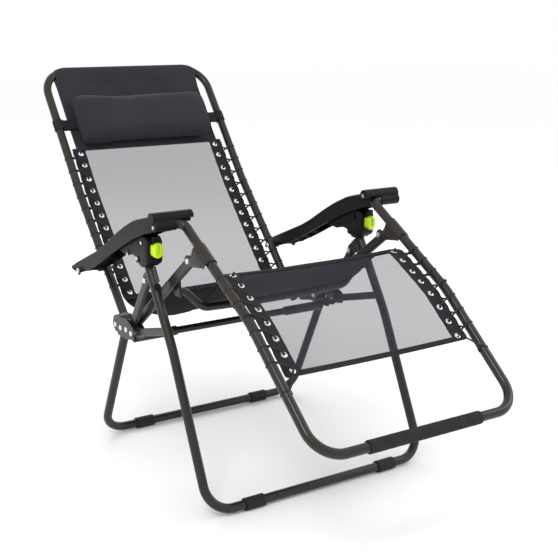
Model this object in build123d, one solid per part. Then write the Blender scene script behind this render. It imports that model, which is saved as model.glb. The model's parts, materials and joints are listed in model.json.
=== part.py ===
from build123d import *
import math
import os

# Zero gravity recliner: a folding garden chair of bent steel tube with a laced
# fabric sling. Millimetres, +Z up, the seat faces -Y, left is -X, and the origin
# is on the floor under the middle of the chair.

os.makedirs("parts", exist_ok=True)

# ---------------------------------------------------------------- tube and bar
TUBE_R = 11.0            # 22 mm frame tube
TUBE_WALL = 1.2
BAR_R = 9.0              # 18 mm cross bars
FLAT_WIDE = 25.0         # flat-oval side members
FLAT_THICK = 12.0
FLOOR_Z = 14.0           # height of the floor bars' centre line
SLEEVE_R = FLOOR_Z + 0.6 # rubber sleeves that the chair stands on, flat underneath
SLEEVE_LENGTH = 50.0
PLATE = 2.6              # pressed steel plate
FIT = 0.08               # running clearance of a pin in its hole
CLEAR = 0.4              # clearance between pieces that never touch

# ------------------------------------------------- lateral planes, centre lines
X_FRONT_LEG = 306.0
X_REAR_LEG = 299.0
X_BACK = 256.0
X_LEG_REST = 267.0
X_RAIL = 275.0
X_LINK = 299.0

# --------------------------------------------- side view places, each is (y, z)
FRONT_TOP = (-22.0, 584.0)
FRONT_BEND = (-168.0, 352.0)
FRONT_FOOT = (-329.0, FLOOR_Z)
REAR_FOOT = (245.0, FLOOR_Z)
HUB = (88.0, 342.0)              # rear leg and seat rail pivot
BACK_PIVOT = (178.0, 324.0)
BACK_BEND = (450.0, 619.0)
BACK_TOP = (688.0, 925.0)
RAIL_PIVOT = (-205.0, 565.0)     # leg rest on the seat rail
GRIP_PIVOT = (-157.0, 641.0)     # leg rest in the hand grip
LEG_BEND = (-436.0, 479.0)
FOOT_BAR = (-688.0, 268.0)
ARM_PIVOT = (291.0, 446.0)       # arm on the back frame
LINK_TOP = (-37.0, 488.0)
LINK_BOTTOM = (57.0, 345.0)
STRUT_REAR = (30.0, 342.0)
STRUT_FRONT = (-144.0, 390.0)
CROSSBAR = (80.0, 313.0)
SEAT_BAR = (-125.0, 474.0)
KNOB = (-92.0, 572.0)

BOLT_R = 4.0
HEAD_R = 7.0
HEAD_H = 3.5


def unit(a, b):
    """Unit vector from a to b in the side view, and the distance."""
    dy = b[0] - a[0]
    dz = b[1] - a[1]
    size = math.hypot(dy, dz)
    return (dy / size, dz / size), size


def along(a, b, distance):
    """The point at a distance from a on the way to b, in the side view."""
    way, _ = unit(a, b)
    return (a[0] + way[0] * distance, a[1] + way[1] * distance)


def other_side(shape):
    """The left-hand twin of a right-hand piece."""
    return mirror(shape, about=Plane.YZ)


def save(shape, name):
    export_step(shape, "parts/" + name + ".step")


def save_pair(shape, name):
    """Write a right-hand piece and its mirror image."""
    save(shape, name + "_right")
    save(other_side(shape), name + "_left")


def group(solids):
    """Separate solids that share one node."""
    return Compound(children=list(solids))


def sweep_round(points, radii, outer, wall=0.0):
    """A round bar, or a tube if it has a wall, along straight runs and arcs."""
    path = FilletPolyline(*points, radius=radii)
    face = Plane(origin=path @ 0, z_dir=path % 0) * Circle(outer)
    if wall > 0:
        face -= Plane(origin=path @ 0, z_dir=path % 0) * Circle(outer - wall)
    return sweep(face, path=path)


def rod_x(x0, x1, place, radius):
    """A cylinder along X between two lateral planes."""
    middle = Pos((x0 + x1) / 2, place[0], place[1])
    return middle * Rot(0, 90, 0) * Cylinder(radius, abs(x1 - x0))


def rod_between(x, a, b, radius):
    """A cylinder in the side plane at x, from a to b."""
    way, size = unit(a, b)
    plane = Plane(origin=(x, a[0], a[1]), z_dir=(0, way[0], way[1]))
    return plane * Pos(0, 0, size / 2) * Cylinder(radius, size)


def slab(points, x0, x1, rounding=0.0):
    """A side view outline, extruded from x0 to x1."""
    outline = Plane.YZ.offset(x0) * make_face(Polyline(*points, close=True))
    if rounding > 0:
        outline = fillet(outline.vertices(), rounding)
    return extrude(outline, amount=x1 - x0, dir=(1, 0, 0))


def flat_bar(a, b, x_middle, wide, thick, edge):
    """A flat-oval bar with round ends that reach past its two holes."""
    way, size = unit(a, b)
    tilt = math.degrees(math.atan2(way[1], way[0]))
    centre = Pos((a[0] + b[0]) / 2, (a[1] + b[1]) / 2)
    sketch = Plane.YZ.offset(x_middle - thick / 2) * centre * Rot(0, 0, tilt) * SlotCenterToCenter(size, wide)
    bar = extrude(sketch, amount=thick, dir=(1, 0, 0))
    return fillet(bar.faces().filter_by(Axis.X).edges(), edge)


def bolt(x_head, x_tip, place, radius=BOLT_R, head=HEAD_R, nut=True):
    """A bolt along X with a domed head at x_head and a hexagon nut at x_tip."""
    out = 1 if x_head > x_tip else -1
    shank = rod_x(x_head, x_tip, place, radius)
    cap = rod_x(x_head, x_head + out * HEAD_H, place, head)
    rim = cap.edges().filter_by(GeomType.CIRCLE).sort_by(Axis.X)
    cap = fillet(rim[-1] if out > 0 else rim[0], HEAD_H * 0.6)
    piece = shank + cap
    if nut:
        face = Plane(origin=(x_tip, place[0], place[1]), z_dir=(-out, 0, 0)) * RegularPolygon(head, 6)
        tail = rod_x(x_tip, x_tip - out * 6.5, place, radius)
        piece = piece + extrude(face, amount=5.0) + tail
    return piece


def ring_x(x0, x1, place, outer, inner):
    return rod_x(x0, x1, place, outer) - rod_x(x0 - 1, x1 + 1, place, inner)


# ------------------------------------------------------------------ leg frames
def u_frame(side_points, x, side_radii, corner):
    """A U of tube: down one side, across, and up the other side."""
    right = [(x, y, z) for y, z in side_points]
    left = [(-x, y, z) for y, z in reversed(side_points)]
    radii = side_radii + [corner, corner] + list(reversed(side_radii))
    return sweep_round(right + left, radii, TUBE_R, TUBE_WALL)


def drill_both(shape, place, radius, x0=200.0, x1=360.0):
    """A hole along X through a piece, on both sides of the chair."""
    hole = rod_x(x0, x1, place, radius)
    return shape - hole - other_side(hole)


FLOOR_CORNER = 62.0
GENTLE_BEND = 260.0

front_leg = u_frame([FRONT_TOP, FRONT_BEND, FRONT_FOOT], X_FRONT_LEG, [GENTLE_BEND], FLOOR_CORNER)
save(front_leg, "front_leg_frame")

REAR_LEG_STUB = 13.0
rear_top = along(HUB, REAR_FOOT, -REAR_LEG_STUB)
rear_leg = u_frame([rear_top, REAR_FOOT], X_REAR_LEG, [], FLOOR_CORNER)
rear_leg = drill_both(rear_leg, HUB, BOLT_R + FIT)
save(rear_leg, "rear_leg_frame")


def floor_sleeves(place, x_middle):
    """Two rubber sleeves on a floor bar."""
    half = SLEEVE_LENGTH / 2
    sleeve = ring_x(x_middle - half, x_middle + half, place, SLEEVE_R, TUBE_R + 0.05)
    sleeve -= Pos(x_middle, place[0], -10) * Box(2 * SLEEVE_LENGTH, 60, 20)
    return group([sleeve, other_side(sleeve)])


FRONT_SLEEVE_X = 190.0
REAR_SLEEVE_X = 181.0
save(floor_sleeves(FRONT_FOOT, FRONT_SLEEVE_X), "floor_sleeves_front")
save(floor_sleeves(REAR_FOOT, REAR_SLEEVE_X), "floor_sleeves_rear")

# ------------------------------------------------------- hub brackets and links
HUB_OUTER_X = X_REAR_LEG + TUBE_R + 1.5
HUB_INNER_X = X_REAR_LEG - TUBE_R - 1.5 - PLATE
HUB_OUTLINE = [
    (18, 328), (20, 356), (66, 374), (120, 370), (190, 344),
    (198, 320), (180, 304), (116, 318), (66, 318),
]
HUB_OUTER_OUTLINE = [(18, 328), (20, 356), (62, 372), (104, 367), (114, 342), (108, 320), (66, 318)]
WEB_Y = 88.0
WEB_Z = 366.0


def hub_bracket():
    """Two plates joined by a short web above the rear leg's end. The inner one carries the back."""
    inner = slab(HUB_OUTLINE, HUB_INNER_X, HUB_INNER_X + PLATE, 6)
    outer = slab(HUB_OUTER_OUTLINE, HUB_OUTER_X, HUB_OUTER_X + PLATE, 6)
    web_x = (HUB_INNER_X + HUB_OUTER_X + PLATE) / 2
    web = Pos(web_x, WEB_Y, WEB_Z) * Box(HUB_OUTER_X - HUB_INNER_X, 26, PLATE)
    bracket = inner + outer + web
    for place in (HUB, BACK_PIVOT, LINK_BOTTOM, STRUT_REAR):
        bracket -= rod_x(270, 330, place, BOLT_R + 0.02)
    return bracket - rod_x(280, 290, CROSSBAR, BAR_R + 0.1)


save_pair(hub_bracket(), "hub_bracket")

link = flat_bar(LINK_BOTTOM, LINK_TOP, X_LINK, FLAT_WIDE, FLAT_THICK, 4.5)
for hole_place in (LINK_BOTTOM, LINK_TOP):
    link -= rod_x(280, 320, hole_place, BOLT_R + 0.02)
save_pair(link, "short_link")

STRUT_WIDE = 19.0
STRUT_THICK = 10.0
strut = flat_bar(STRUT_REAR, STRUT_FRONT, X_LINK, STRUT_WIDE, STRUT_THICK, 3.5)
strut -= rod_x(280, 320, STRUT_REAR, BOLT_R + 0.02)
strut -= rod_between(X_FRONT_LEG, FRONT_BEND, FRONT_TOP, TUBE_R + 0.1)
strut = strut.solids().sort_by(SortBy.VOLUME)[-1]
save_pair(strut, "strut")


def leg_clevis(place, x0, x1, reach):
    """A pressed bracket on the front leg that holds the end of a side member."""
    up, _ = unit(FRONT_BEND, FRONT_TOP)
    start = (FRONT_BEND[0], FRONT_BEND[1])
    rise = (place[0] - start[0]) * up[0] + (place[1] - start[1]) * up[1]
    foot = along(FRONT_BEND, FRONT_TOP, rise)
    low = (foot[0] - up[0] * reach, foot[1] - up[1] * reach)
    high = (foot[0] + up[0] * reach, foot[1] + up[1] * reach)
    tip_low = (place[0] + 9, place[1] - 9)
    tip_high = (place[0] + 7, place[1] + 11)
    return slab([low, tip_low, tip_high, high], x0, x1, 2)


LINK_GAP = 0.4
CLEVIS_REACH = FLAT_THICK / 2 + LINK_GAP + PLATE
clevis = leg_clevis(LINK_TOP, X_LINK - CLEVIS_REACH, X_LINK + CLEVIS_REACH, 20)
clevis -= flat_bar(LINK_BOTTOM, LINK_TOP, X_LINK, FLAT_WIDE + 4, FLAT_THICK + 2 * LINK_GAP, 1.0)
clevis -= rod_between(X_FRONT_LEG, FRONT_BEND, FRONT_TOP, TUBE_R + 0.1)
clevis -= rod_x(280, 325, LINK_TOP, BOLT_R + 0.02)
clevis = clevis.solids().sort_by(SortBy.VOLUME)[-1]
save_pair(clevis, "link_clevis")

# a round plastic cap on the front of the leg, over the clevis rivet
cap_foot = (-87.5, 478.0)
leg_up, _ = unit(FRONT_BEND, FRONT_TOP)
cap_plane = Plane(origin=(X_FRONT_LEG, cap_foot[0], cap_foot[1]), z_dir=(0, -leg_up[1], leg_up[0]))
cap = cap_plane * Pos(0, 0, TUBE_R + 1) * Cylinder(9.5, 6)
cap = fillet(cap.edges().filter_by(GeomType.CIRCLE).sort_by(Axis.Y)[0], 2.0)
cap -= rod_between(X_FRONT_LEG, FRONT_BEND, FRONT_TOP, TUBE_R + 0.05)
save_pair(cap, "leg_cap")

crossbar_half = HUB_INNER_X + PLATE
crossbar = rod_x(-crossbar_half, crossbar_half, CROSSBAR, BAR_R)
crossbar -= rod_x(-crossbar_half - 1, crossbar_half + 1, CROSSBAR, BAR_R - TUBE_WALL)

SOCKET_END = 166.0


def crossbar_bracket():
    """A pressed socket that carries the cross bar on the hub's inner plate."""
    socket = ring_x(SOCKET_END, HUB_INNER_X - 0.05, CROSSBAR, BAR_R + 3.2, BAR_R + 0.05)
    flange = slab([(40, 318), (40, 330), (62, 338), (108, 338), (122, 322), (122, 316), (62, 316)],
                  HUB_INNER_X - PLATE - 0.05, HUB_INNER_X - 0.05, 3)
    piece = socket + flange - rod_x(SOCKET_END - 1, 300, CROSSBAR, BAR_R + 0.05)
    piece -= rod_x(270, 300, HUB, FLAT_WIDE / 2 + 4)
    return piece


save(crossbar, "rear_crossbar")
save_pair(crossbar_bracket(), "crossbar_bracket")

# --------------------------------------------------------------- seat frame
RAIL_HOLE_R = BOLT_R + FIT
rail = flat_bar(HUB, RAIL_PIVOT, X_RAIL, FLAT_WIDE, FLAT_THICK, 4.5)
for hole_place in (HUB, RAIL_PIVOT):
    rail -= rod_x(260, 290, hole_place, RAIL_HOLE_R)
save_pair(rail, "seat_rail")

SEAT_BAR_DIP = 50.0
SEAT_BAR_END = X_RAIL - FLAT_THICK / 2 - 5.0
seat_bar_low = (SEAT_BAR[0] - 4, SEAT_BAR[1] - SEAT_BAR_DIP)
seat_bar_points = [
    (SEAT_BAR_END, SEAT_BAR[0], SEAT_BAR[1]),
    (250, SEAT_BAR[0], SEAT_BAR[1]),
    (204, seat_bar_low[0], seat_bar_low[1] + 4),
    (60, seat_bar_low[0], seat_bar_low[1]),
]
seat_bar_points += [(-x, y, z) for x, y, z in reversed(seat_bar_points)]
seat_bar = sweep_round(seat_bar_points, [12, 40, 240, 240, 40, 12], BAR_R, TUBE_WALL)
save(seat_bar, "seat_crossbar")


def seat_bar_tab():
    """A welded tab that hangs the cross bar under the seat rail."""
    way, _ = unit(HUB, RAIL_PIVOT)
    upper = along(HUB, RAIL_PIVOT, 262.0)
    top_a = (upper[0] - way[0] * 16, upper[1] - way[1] * 16 - 4)
    top_b = (upper[0] + way[0] * 16, upper[1] + way[1] * 16 - 4)
    low_a = (SEAT_BAR[0] - 13, SEAT_BAR[1] - 10)
    low_b = (SEAT_BAR[0] + 13, SEAT_BAR[1] - 10)
    tab = slab([top_a, top_b, low_a, low_b], SEAT_BAR_END, SEAT_BAR_END + 4.9, 3)
    return tab


save_pair(seat_bar_tab(), "seat_bar_tab")

# ------------------------------------------------------------------- leg rest
STUB_END = 338.0
ELBOW_R = 20.0
LOBE_IN = X_LEG_REST + ELBOW_R + 2.0       # the grip's lower lobe starts beside the elbow
FOOT_CORNER = 66.0
leg_points = [
    (STUB_END, GRIP_PIVOT[0], GRIP_PIVOT[1]),
    (X_LEG_REST, GRIP_PIVOT[0], GRIP_PIVOT[1]),
    (X_LEG_REST, LEG_BEND[0], LEG_BEND[1]),
    (X_LEG_REST, FOOT_BAR[0], FOOT_BAR[1]),
]
leg_points += [(-x, y, z) for x, y, z in reversed(leg_points)]
leg_radii = [ELBOW_R, GENTLE_BEND, FOOT_CORNER, FOOT_CORNER, GENTLE_BEND, ELBOW_R]
leg_rest = sweep_round(leg_points, leg_radii, TUBE_R, TUBE_WALL)
save(leg_rest, "leg_rest_frame")

GUSSET_IN = X_LEG_REST - TUBE_R - PLATE
GUSSET_OUT = X_RAIL + FLAT_THICK / 2 + 1.0 + PLATE


def gusset():
    """A folded plate that wraps the leg rest tube and reaches to the rail pivot."""
    way, _ = unit(GRIP_PIVOT, LEG_BEND)
    normal = (way[1], -way[0])
    near = along(GRIP_PIVOT, LEG_BEND, 84)
    far = along(GRIP_PIVOT, LEG_BEND, 142)
    outline = [
        (near[0] - normal[0] * -15, near[1] - normal[1] * -15),
        (far[0] - normal[0] * -15, far[1] - normal[1] * -15),
        (far[0] - normal[0] * 15, far[1] - normal[1] * 15),
        (RAIL_PIVOT[0] - 12, RAIL_PIVOT[1] - 17),
        (RAIL_PIVOT[0] + 13, RAIL_PIVOT[1] - 12),
        (RAIL_PIVOT[0] + 12, RAIL_PIVOT[1] + 14),
    ]
    whole = slab(outline, GUSSET_IN, GUSSET_OUT, 3)
    pocket_top = [
        (near[0] - normal[0] * 10 + 40, near[1] - normal[1] * 10 + 30),
        (far[0] - normal[0] * 10 - 60, far[1] - normal[1] * 10 - 40),
        (far[0] - 60, far[1] - 120),
        (near[0] + 120, near[1] - 120),
    ]
    pocket = slab(pocket_top, GUSSET_IN + PLATE, GUSSET_OUT - PLATE)
    upper = along(GRIP_PIVOT, LEG_BEND, 20)
    lower = along(GRIP_PIVOT, LEG_BEND, 220)
    tube_way = rod_between(X_LEG_REST, upper, lower, TUBE_R + 0.05)
    piece = whole - pocket - tube_way - rod_x(240, 300, RAIL_PIVOT, BOLT_R + 0.02)
    return piece.solids().sort_by(SortBy.VOLUME)[-1]


save_pair(gusset(), "gusset")

FOOT_GRIP_HALF = 150.0
FOOT_GRIP_R = 14.0
save(ring_x(-FOOT_GRIP_HALF, FOOT_GRIP_HALF, FOOT_BAR, FOOT_GRIP_R, TUBE_R + 0.05), "foot_grip")

# -------------------------------------------------------------------- back
BACK_CORNER = 72.0
back_low = along(BACK_PIVOT, BACK_BEND, -14.0)
back = u_frame([back_low, BACK_BEND, BACK_TOP], X_BACK, [GENTLE_BEND * 2], BACK_CORNER)
back = drill_both(back, BACK_PIVOT, BOLT_R + FIT)
back = drill_both(back, ARM_PIVOT, BOLT_R + 0.02)
save(back, "back_frame")

# ------------------------------------------------------------- arms and grips
ARM_IN = 280.0
ARM_OUT = 332.0
ARM_WALL = 3.0
LOBE = (-149.0, 655.0)           # axis of the hand grip's upper lobe
LOBE_R = 14.0
SLEEVE_BORE_R = TUBE_R + FIT
GRIP_IN = 243.0
GRIP_OUT = 345.0
ARM_OUTLINE = [
    (-158, 634), (-128, 652), (-94, 650), (-30, 631), (70, 583), (180, 527), (290, 478), (336, 458),
    (350, 449), (346, 439), (318, 436), (270, 441), (195, 470), (75, 532), (-94, 612), (-128, 618),
]


def grip_bulk(gap):
    """The grip's two lobes and the web between them, grown by a gap."""
    upper = rod_x(GRIP_IN - gap, GRIP_OUT + gap, LOBE, LOBE_R + gap)
    lower = rod_x(LOBE_IN - gap, GRIP_OUT - 2 + gap, GRIP_PIVOT, TUBE_R + 2.4 + gap)
    return upper + lower


def hand_grip():
    """The moulded grip at the front of the arm, which turns on the leg rest's end."""
    piece = grip_bulk(0.0)
    ends = piece.edges().filter_by(GeomType.CIRCLE).group_by(Axis.X)
    piece = fillet(ends[0], 2.5)
    piece -= rod_x(LOBE_IN - 1, STUB_END + 0.8, GRIP_PIVOT, SLEEVE_BORE_R)
    relief = Pos(LOBE_IN - 28.5, GRIP_PIVOT[0] - 13, GRIP_PIVOT[1] - 2) * Box(57, 40, 29)
    under = rod_x(LOBE_IN - 57, LOBE_IN, GRIP_PIVOT, TUBE_R + 1.2)
    piece = piece - relief - under
    return piece.solids().sort_by(SortBy.VOLUME)[-1]


def armrest():
    """An inverted channel with a crowned top that slides over the lock head."""
    blade = slab(ARM_OUTLINE, ARM_IN, ARM_OUT)
    long_edges = blade.faces().sort_by(Axis.X)[-1].edges() + blade.faces().sort_by(Axis.X)[0].edges()
    blade = chamfer(long_edges, 1.6)
    inner = [(y, z - 6.0) for y, z in ARM_OUTLINE[2:9]]
    front_end = [(-146, 596), (-143, 616), (-124, 630), (-92, 641)]
    rear_end = [(338, 446), (346, 400), (-146, 560)]
    inner = front_end + inner[1:-2] + rear_end
    piece = blade - slab(inner, ARM_IN + ARM_WALL, ARM_OUT - ARM_WALL)
    piece -= grip_bulk(CLEAR)
    piece -= rod_x(270, 340, ARM_PIVOT, BOLT_R + 4.2)
    piece -= rod_x(275, 300, GRIP_PIVOT, TUBE_R + 3.0)
    return piece.solids().sort_by(SortBy.VOLUME)[-1]


save_pair(hand_grip(), "hand_grip")
save_pair(armrest(), "armrest")

# ------------------------------------------------------------- arm locks
HEAD_IN = 286.0
HEAD_OUT = 326.0
LOCK_OUTLINE = [
    (66, 540), (44, 545), (16, 533), (-50, 530), (-78, 540), (-88, 556), (-90, 588), (-72, 600),
    (-40, 607), (-14, 596), (40, 566),
]


def lock_housing():
    """The moulded head on top of the front leg, which the arm slides over."""
    body = slab(LOCK_OUTLINE, HEAD_IN, HEAD_OUT)
    edges = body.faces().sort_by(Axis.X)[-1].edges() + body.faces().sort_by(Axis.X)[0].edges()
    body = chamfer(edges, 1.5)
    body -= rod_between(X_FRONT_LEG, FRONT_BEND, along(FRONT_TOP, FRONT_BEND, -0.5), TUBE_R + 0.05)
    spindle = Pos(X_FRONT_LEG, KNOB[0] + 8, KNOB[1]) * Rot(90, 0, 0) * Cylinder(BOLT_R + FIT, 22)
    return body - spindle


def lock_knob():
    """The lime lever knob: an oval boss on a short spindle."""
    face = Plane(origin=(X_FRONT_LEG, KNOB[0] - 0.6, KNOB[1]), x_dir=(0, 0, 1), z_dir=(0, -1, 0))
    boss = extrude(face * SlotOverall(36, 25), amount=17)
    boss = fillet(boss.faces().sort_by(Axis.Y)[0].edges(), 4.5)
    slot = Pos(X_FRONT_LEG, KNOB[0] - 17, KNOB[1] + 1) * Box(5, 6, 20)
    spindle = Pos(X_FRONT_LEG, KNOB[0] + 6, KNOB[1]) * Rot(90, 0, 0) * Cylinder(BOLT_R, 16)
    return boss - slot + spindle


save_pair(lock_housing(), "lock_housing")
save_pair(lock_knob(), "lock_knob")

SCREW_PLACES = [(-38, 543), (12, 543), (-62, 584)]


def housing_screws():
    heads = [rod_x(HEAD_OUT + 0.02, HEAD_OUT + 1.8, place, 4.2) for place in SCREW_PLACES]
    return heads + [other_side(head) for head in heads]


save(group(housing_screws()), "housing_screws")

# ---------------------------------------------------------------- fasteners
hub_bolt = bolt(HUB_OUTER_X + PLATE + 0.02, X_RAIL - FLAT_THICK / 2 - 0.6, HUB)
save(group([hub_bolt, other_side(hub_bolt)]), "hub_bolts")

back_bolt = bolt(HUB_INNER_X + PLATE + 0.02, X_BACK - TUBE_R - 0.5, BACK_PIVOT)
save(group([back_bolt, other_side(back_bolt)]), "back_pivot_bolts")

spacer = ring_x(X_BACK + TUBE_R + 0.6, HUB_INNER_X - 0.05, BACK_PIVOT, 8.5, BOLT_R + 0.02)
save(group([spacer, other_side(spacer)]), "back_pivot_spacers")

link_bolts = [
    bolt(HUB_OUTER_X + PLATE + 0.02, HUB_INNER_X - 0.02, LINK_BOTTOM, nut=False),
    bolt(HUB_OUTER_X + PLATE + 0.02, HUB_INNER_X - 0.02, STRUT_REAR, nut=False),
    bolt(X_LINK + CLEVIS_REACH + 0.02, X_LINK - CLEVIS_REACH - 0.02, LINK_TOP),
]
save(group(link_bolts + [other_side(piece) for piece in link_bolts]), "link_bolts")

rail_bolt = bolt(GUSSET_OUT + 0.02, GUSSET_IN - 0.02, RAIL_PIVOT)
save(group([rail_bolt, other_side(rail_bolt)]), "rail_pivot_bolts")

arm_bolt = bolt(ARM_OUT + 2.9, X_BACK - TUBE_R - 0.05, ARM_PIVOT)
arm_washer = ring_x(ARM_OUT + 0.8, ARM_OUT + 2.8, ARM_PIVOT, 11.0, BOLT_R + 0.02)
arm_spacer = ring_x(X_BACK + TUBE_R + 0.3, ARM_IN - 0.8, ARM_PIVOT, 9.0, BOLT_R + 0.02)
save(group([arm_bolt, other_side(arm_bolt)]), "arm_pivot_bolts")
save(group([arm_washer, arm_spacer, other_side(arm_washer), other_side(arm_spacer)]), "arm_pivot_bushes")

grip_screws = [
    rod_x(GRIP_IN - 1.8, GRIP_IN - 0.02, LOBE, 4.5),
    rod_x(GRIP_OUT - 1.98, GRIP_OUT + 0.4, (GRIP_PIVOT[0] - 3, GRIP_PIVOT[1] - 3), 4.2),
]
save(group(grip_screws), "grip_screws_right")
save(group([other_side(screw) for screw in grip_screws]), "grip_screws_left")

# ------------------------------------------------------------------ sling
SLING = 3.0                      # thickness of the fabric with its hems
SLING_HALF = 232.0
LEG_SLING_HALF = 244.0
GROMMET_R = 6.5
GROMMET_HOLE = 4.0
BACK_GROMMET_X = 213.0
LEG_GROMMET_X = 224.0


def ribbon(points, thick, half):
    """A sheet with a given centre line in the side view, extruded across the chair."""
    above = []
    below = []
    for index, point in enumerate(points):
        before = points[max(index - 1, 0)]
        after = points[min(index + 1, len(points) - 1)]
        way, _ = unit(before, after)
        above.append((point[0] - way[1] * thick / 2, point[1] + way[0] * thick / 2))
        below.append((point[0] + way[1] * thick / 2, point[1] - way[0] * thick / 2))
    return slab(above + list(reversed(below)), -half, half)


def behind(a, b, distance, offset):
    """A point along a line, set back from it by an offset to its lower side."""
    way, _ = unit(a, b)
    spot = along(a, b, distance)
    return (spot[0] + way[1] * offset, spot[1] - way[0] * offset)


_, high_span = unit(BACK_BEND, BACK_TOP)
PANEL_SEAM = 136.0               # mesh above the bend, before the head panel starts
BACK_HEM = 76.0                  # from the back's pivot up to the lower end of its mesh
SLING_SET_BACK = 7.0             # the sling hangs this far behind the tubes' plane at the top
mesh_top = behind(BACK_BEND, BACK_TOP, PANEL_SEAM, SLING_SET_BACK)
mesh_mid = behind(BACK_BEND, BACK_TOP, 0, SLING_SET_BACK + 2)
mesh_low = behind(BACK_PIVOT, BACK_BEND, BACK_HEM, SLING_SET_BACK + 6)
back_sling = ribbon([mesh_top, mesh_mid, mesh_low], SLING, SLING_HALF)

LEG_HEM = 139.0                  # from the leg rest's bend down to the hem
leg_top = (-296.0, 549.0)
leg_mid = behind(LEG_BEND, FOOT_BAR, 0, -5)
leg_hem = behind(LEG_BEND, FOOT_BAR, LEG_HEM, -4)
leg_sling = ribbon([leg_top, leg_mid, leg_hem], SLING, LEG_SLING_HALF)

SEAT_PROFILE = [
    (-244, 536), (-205, 508), (-165, 474), (-120, 449), (-60, 418), (0, 390), (60, 369), (120, 357),
    (178, 356),
]
SEAT_HALF = 208.0
seat_sling = ribbon(SEAT_PROFILE, SLING, SEAT_HALF)


def spread(a, b, count, first, last):
    """Evenly spaced places from a to b, with a margin at each end."""
    _, size = unit(a, b)
    step = (size - first - last) / (count - 1)
    return [along(a, b, first + step * index) for index in range(count)]


def eyelets(a, b, count, first, last, x):
    """Grommets with their holes' cutters, along a straight panel edge."""
    way, _ = unit(a, b)
    rings = []
    cutters = []
    for place in spread(a, b, count, first, last):
        plane = Plane(origin=(x, place[0], place[1]), z_dir=(0, -way[1], way[0]))
        ring = plane * (Cylinder(GROMMET_R, SLING + 1.2) - Cylinder(GROMMET_HOLE, SLING + 4))
        rings += [ring, other_side(ring)]
        cutter = plane * Cylinder(GROMMET_R + 0.1, SLING + 6)
        cutters += [cutter, other_side(cutter)]
    return rings, cutters


# grommets as (count, margin at the first end, margin at the last end), which
# keeps the lacing clear of the arm pivots
UPPER_EYES = (4, 6, 10)
LOWER_EYES = (8, 11, 34)
CALF_EYES = (4, 14, 5)
KNEE_EYES = (4, 35, 4)
upper_rings, upper_cutters = eyelets(mesh_mid, mesh_top, *UPPER_EYES, BACK_GROMMET_X)
lower_rings, lower_cutters = eyelets(mesh_low, mesh_mid, *LOWER_EYES, BACK_GROMMET_X)
for cutter in upper_cutters + lower_cutters:
    back_sling -= cutter
save(back_sling, "back_sling")
save(group(upper_rings + lower_rings), "back_grommets")

knee_rings, knee_cutters = eyelets(leg_mid, leg_top, *KNEE_EYES, LEG_GROMMET_X)
calf_rings, calf_cutters = eyelets(leg_hem, leg_mid, *CALF_EYES, LEG_GROMMET_X)
for cutter in knee_cutters + calf_cutters:
    leg_sling -= cutter
save(leg_sling, "leg_sling")
save(group(knee_rings + calf_rings), "leg_grommets")
save(seat_sling, "seat_sling")

HEAD_HALF = 183.0
PANEL_HALF = 222.0               # the panel is wider than the straight part of the top tube
PANEL_TOP = 26.0
pocket = ring_x(-HEAD_HALF, HEAD_HALF, BACK_TOP, TUBE_R + 2.6, TUBE_R + 0.3)
head_foot = behind(BACK_BEND, BACK_TOP, PANEL_SEAM + 0.5, SLING_SET_BACK)
head_wide = behind(BACK_BEND, BACK_TOP, high_span - PANEL_TOP, SLING_SET_BACK + 3)
head_crown = behind(BACK_BEND, BACK_TOP, high_span - 7, SLING_SET_BACK + 4)
head_panel = pocket + ribbon([head_foot, head_wide], 4.0, PANEL_HALF)
head_panel += ribbon([head_wide, head_crown], 4.0, HEAD_HALF)
head_panel -= rod_x(-300, 300, BACK_TOP, TUBE_R + 0.3)
save(head_panel, "head_panel")

# ----------------------------------------------------------------- lacing
CORD_R = 2.4
LACE_OFF = TUBE_R + CORD_R + 3.4  # clear of the tubes' bends too
LACE_LIFT = 8.0
LACE_SHIFT = 20.0                # each turn round the tube is half way to the next grommet


def lace_points(a, b, tube_a, tube_b, eyes, x_eye, x_tube):
    """A spiral lacing: up through each eyelet, over the tube and back under it."""
    way, _ = unit(a, b)
    up = (-way[1], way[0])
    tube_way, _ = unit(tube_a, tube_b)
    points = []
    for place in spread(a, b, *eyes):
        run = (place[0] - tube_a[0]) * tube_way[0] + (place[1] - tube_a[1]) * tube_way[1]
        centre = along(tube_a, tube_b, run + LACE_SHIFT)
        for x, lift, base in (
            (x_eye, -LACE_LIFT, place), (x_eye, LACE_LIFT, place),
            (x_tube - 8, LACE_OFF, centre), (x_tube + LACE_OFF, LACE_OFF, centre),
            (x_tube + LACE_OFF, -LACE_OFF, centre), (x_tube - 8, -LACE_OFF, centre),
        ):
            points.append((x, base[0] + up[0] * lift, base[1] + up[1] * lift))
    return points


def lacing(points):
    """A limp elastic cord along a lacing route, from one end grommet to the other."""
    route = points[1:-4]
    radii = []
    for index in range(1, len(route) - 1):
        before = Vector(*route[index - 1])
        here = Vector(*route[index])
        after = Vector(*route[index + 1])
        shorter = min((here - before).length, (after - here).length)
        turn = math.radians((here - before).get_angle(after - here))
        radii.append(min(11.0, 0.45 * shorter / math.tan(turn / 2)))
    return sweep_round(route, radii, CORD_R)


lower_lace = lace_points(mesh_low, mesh_mid, BACK_PIVOT, BACK_BEND, LOWER_EYES, BACK_GROMMET_X, X_BACK)
upper_lace = lace_points(mesh_mid, mesh_top, BACK_BEND, BACK_TOP, UPPER_EYES, BACK_GROMMET_X, X_BACK)
save_pair(lacing(lower_lace + upper_lace), "back_lacing")

calf_lace = lace_points(leg_hem, leg_mid, FOOT_BAR, LEG_BEND, CALF_EYES, LEG_GROMMET_X, X_LEG_REST)
knee_lace = lace_points(leg_mid, leg_top, LEG_BEND, GRIP_PIVOT, KNEE_EYES, LEG_GROMMET_X, X_LEG_REST)
save_pair(lacing(calf_lace + knee_lace), "leg_lacing")

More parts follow.
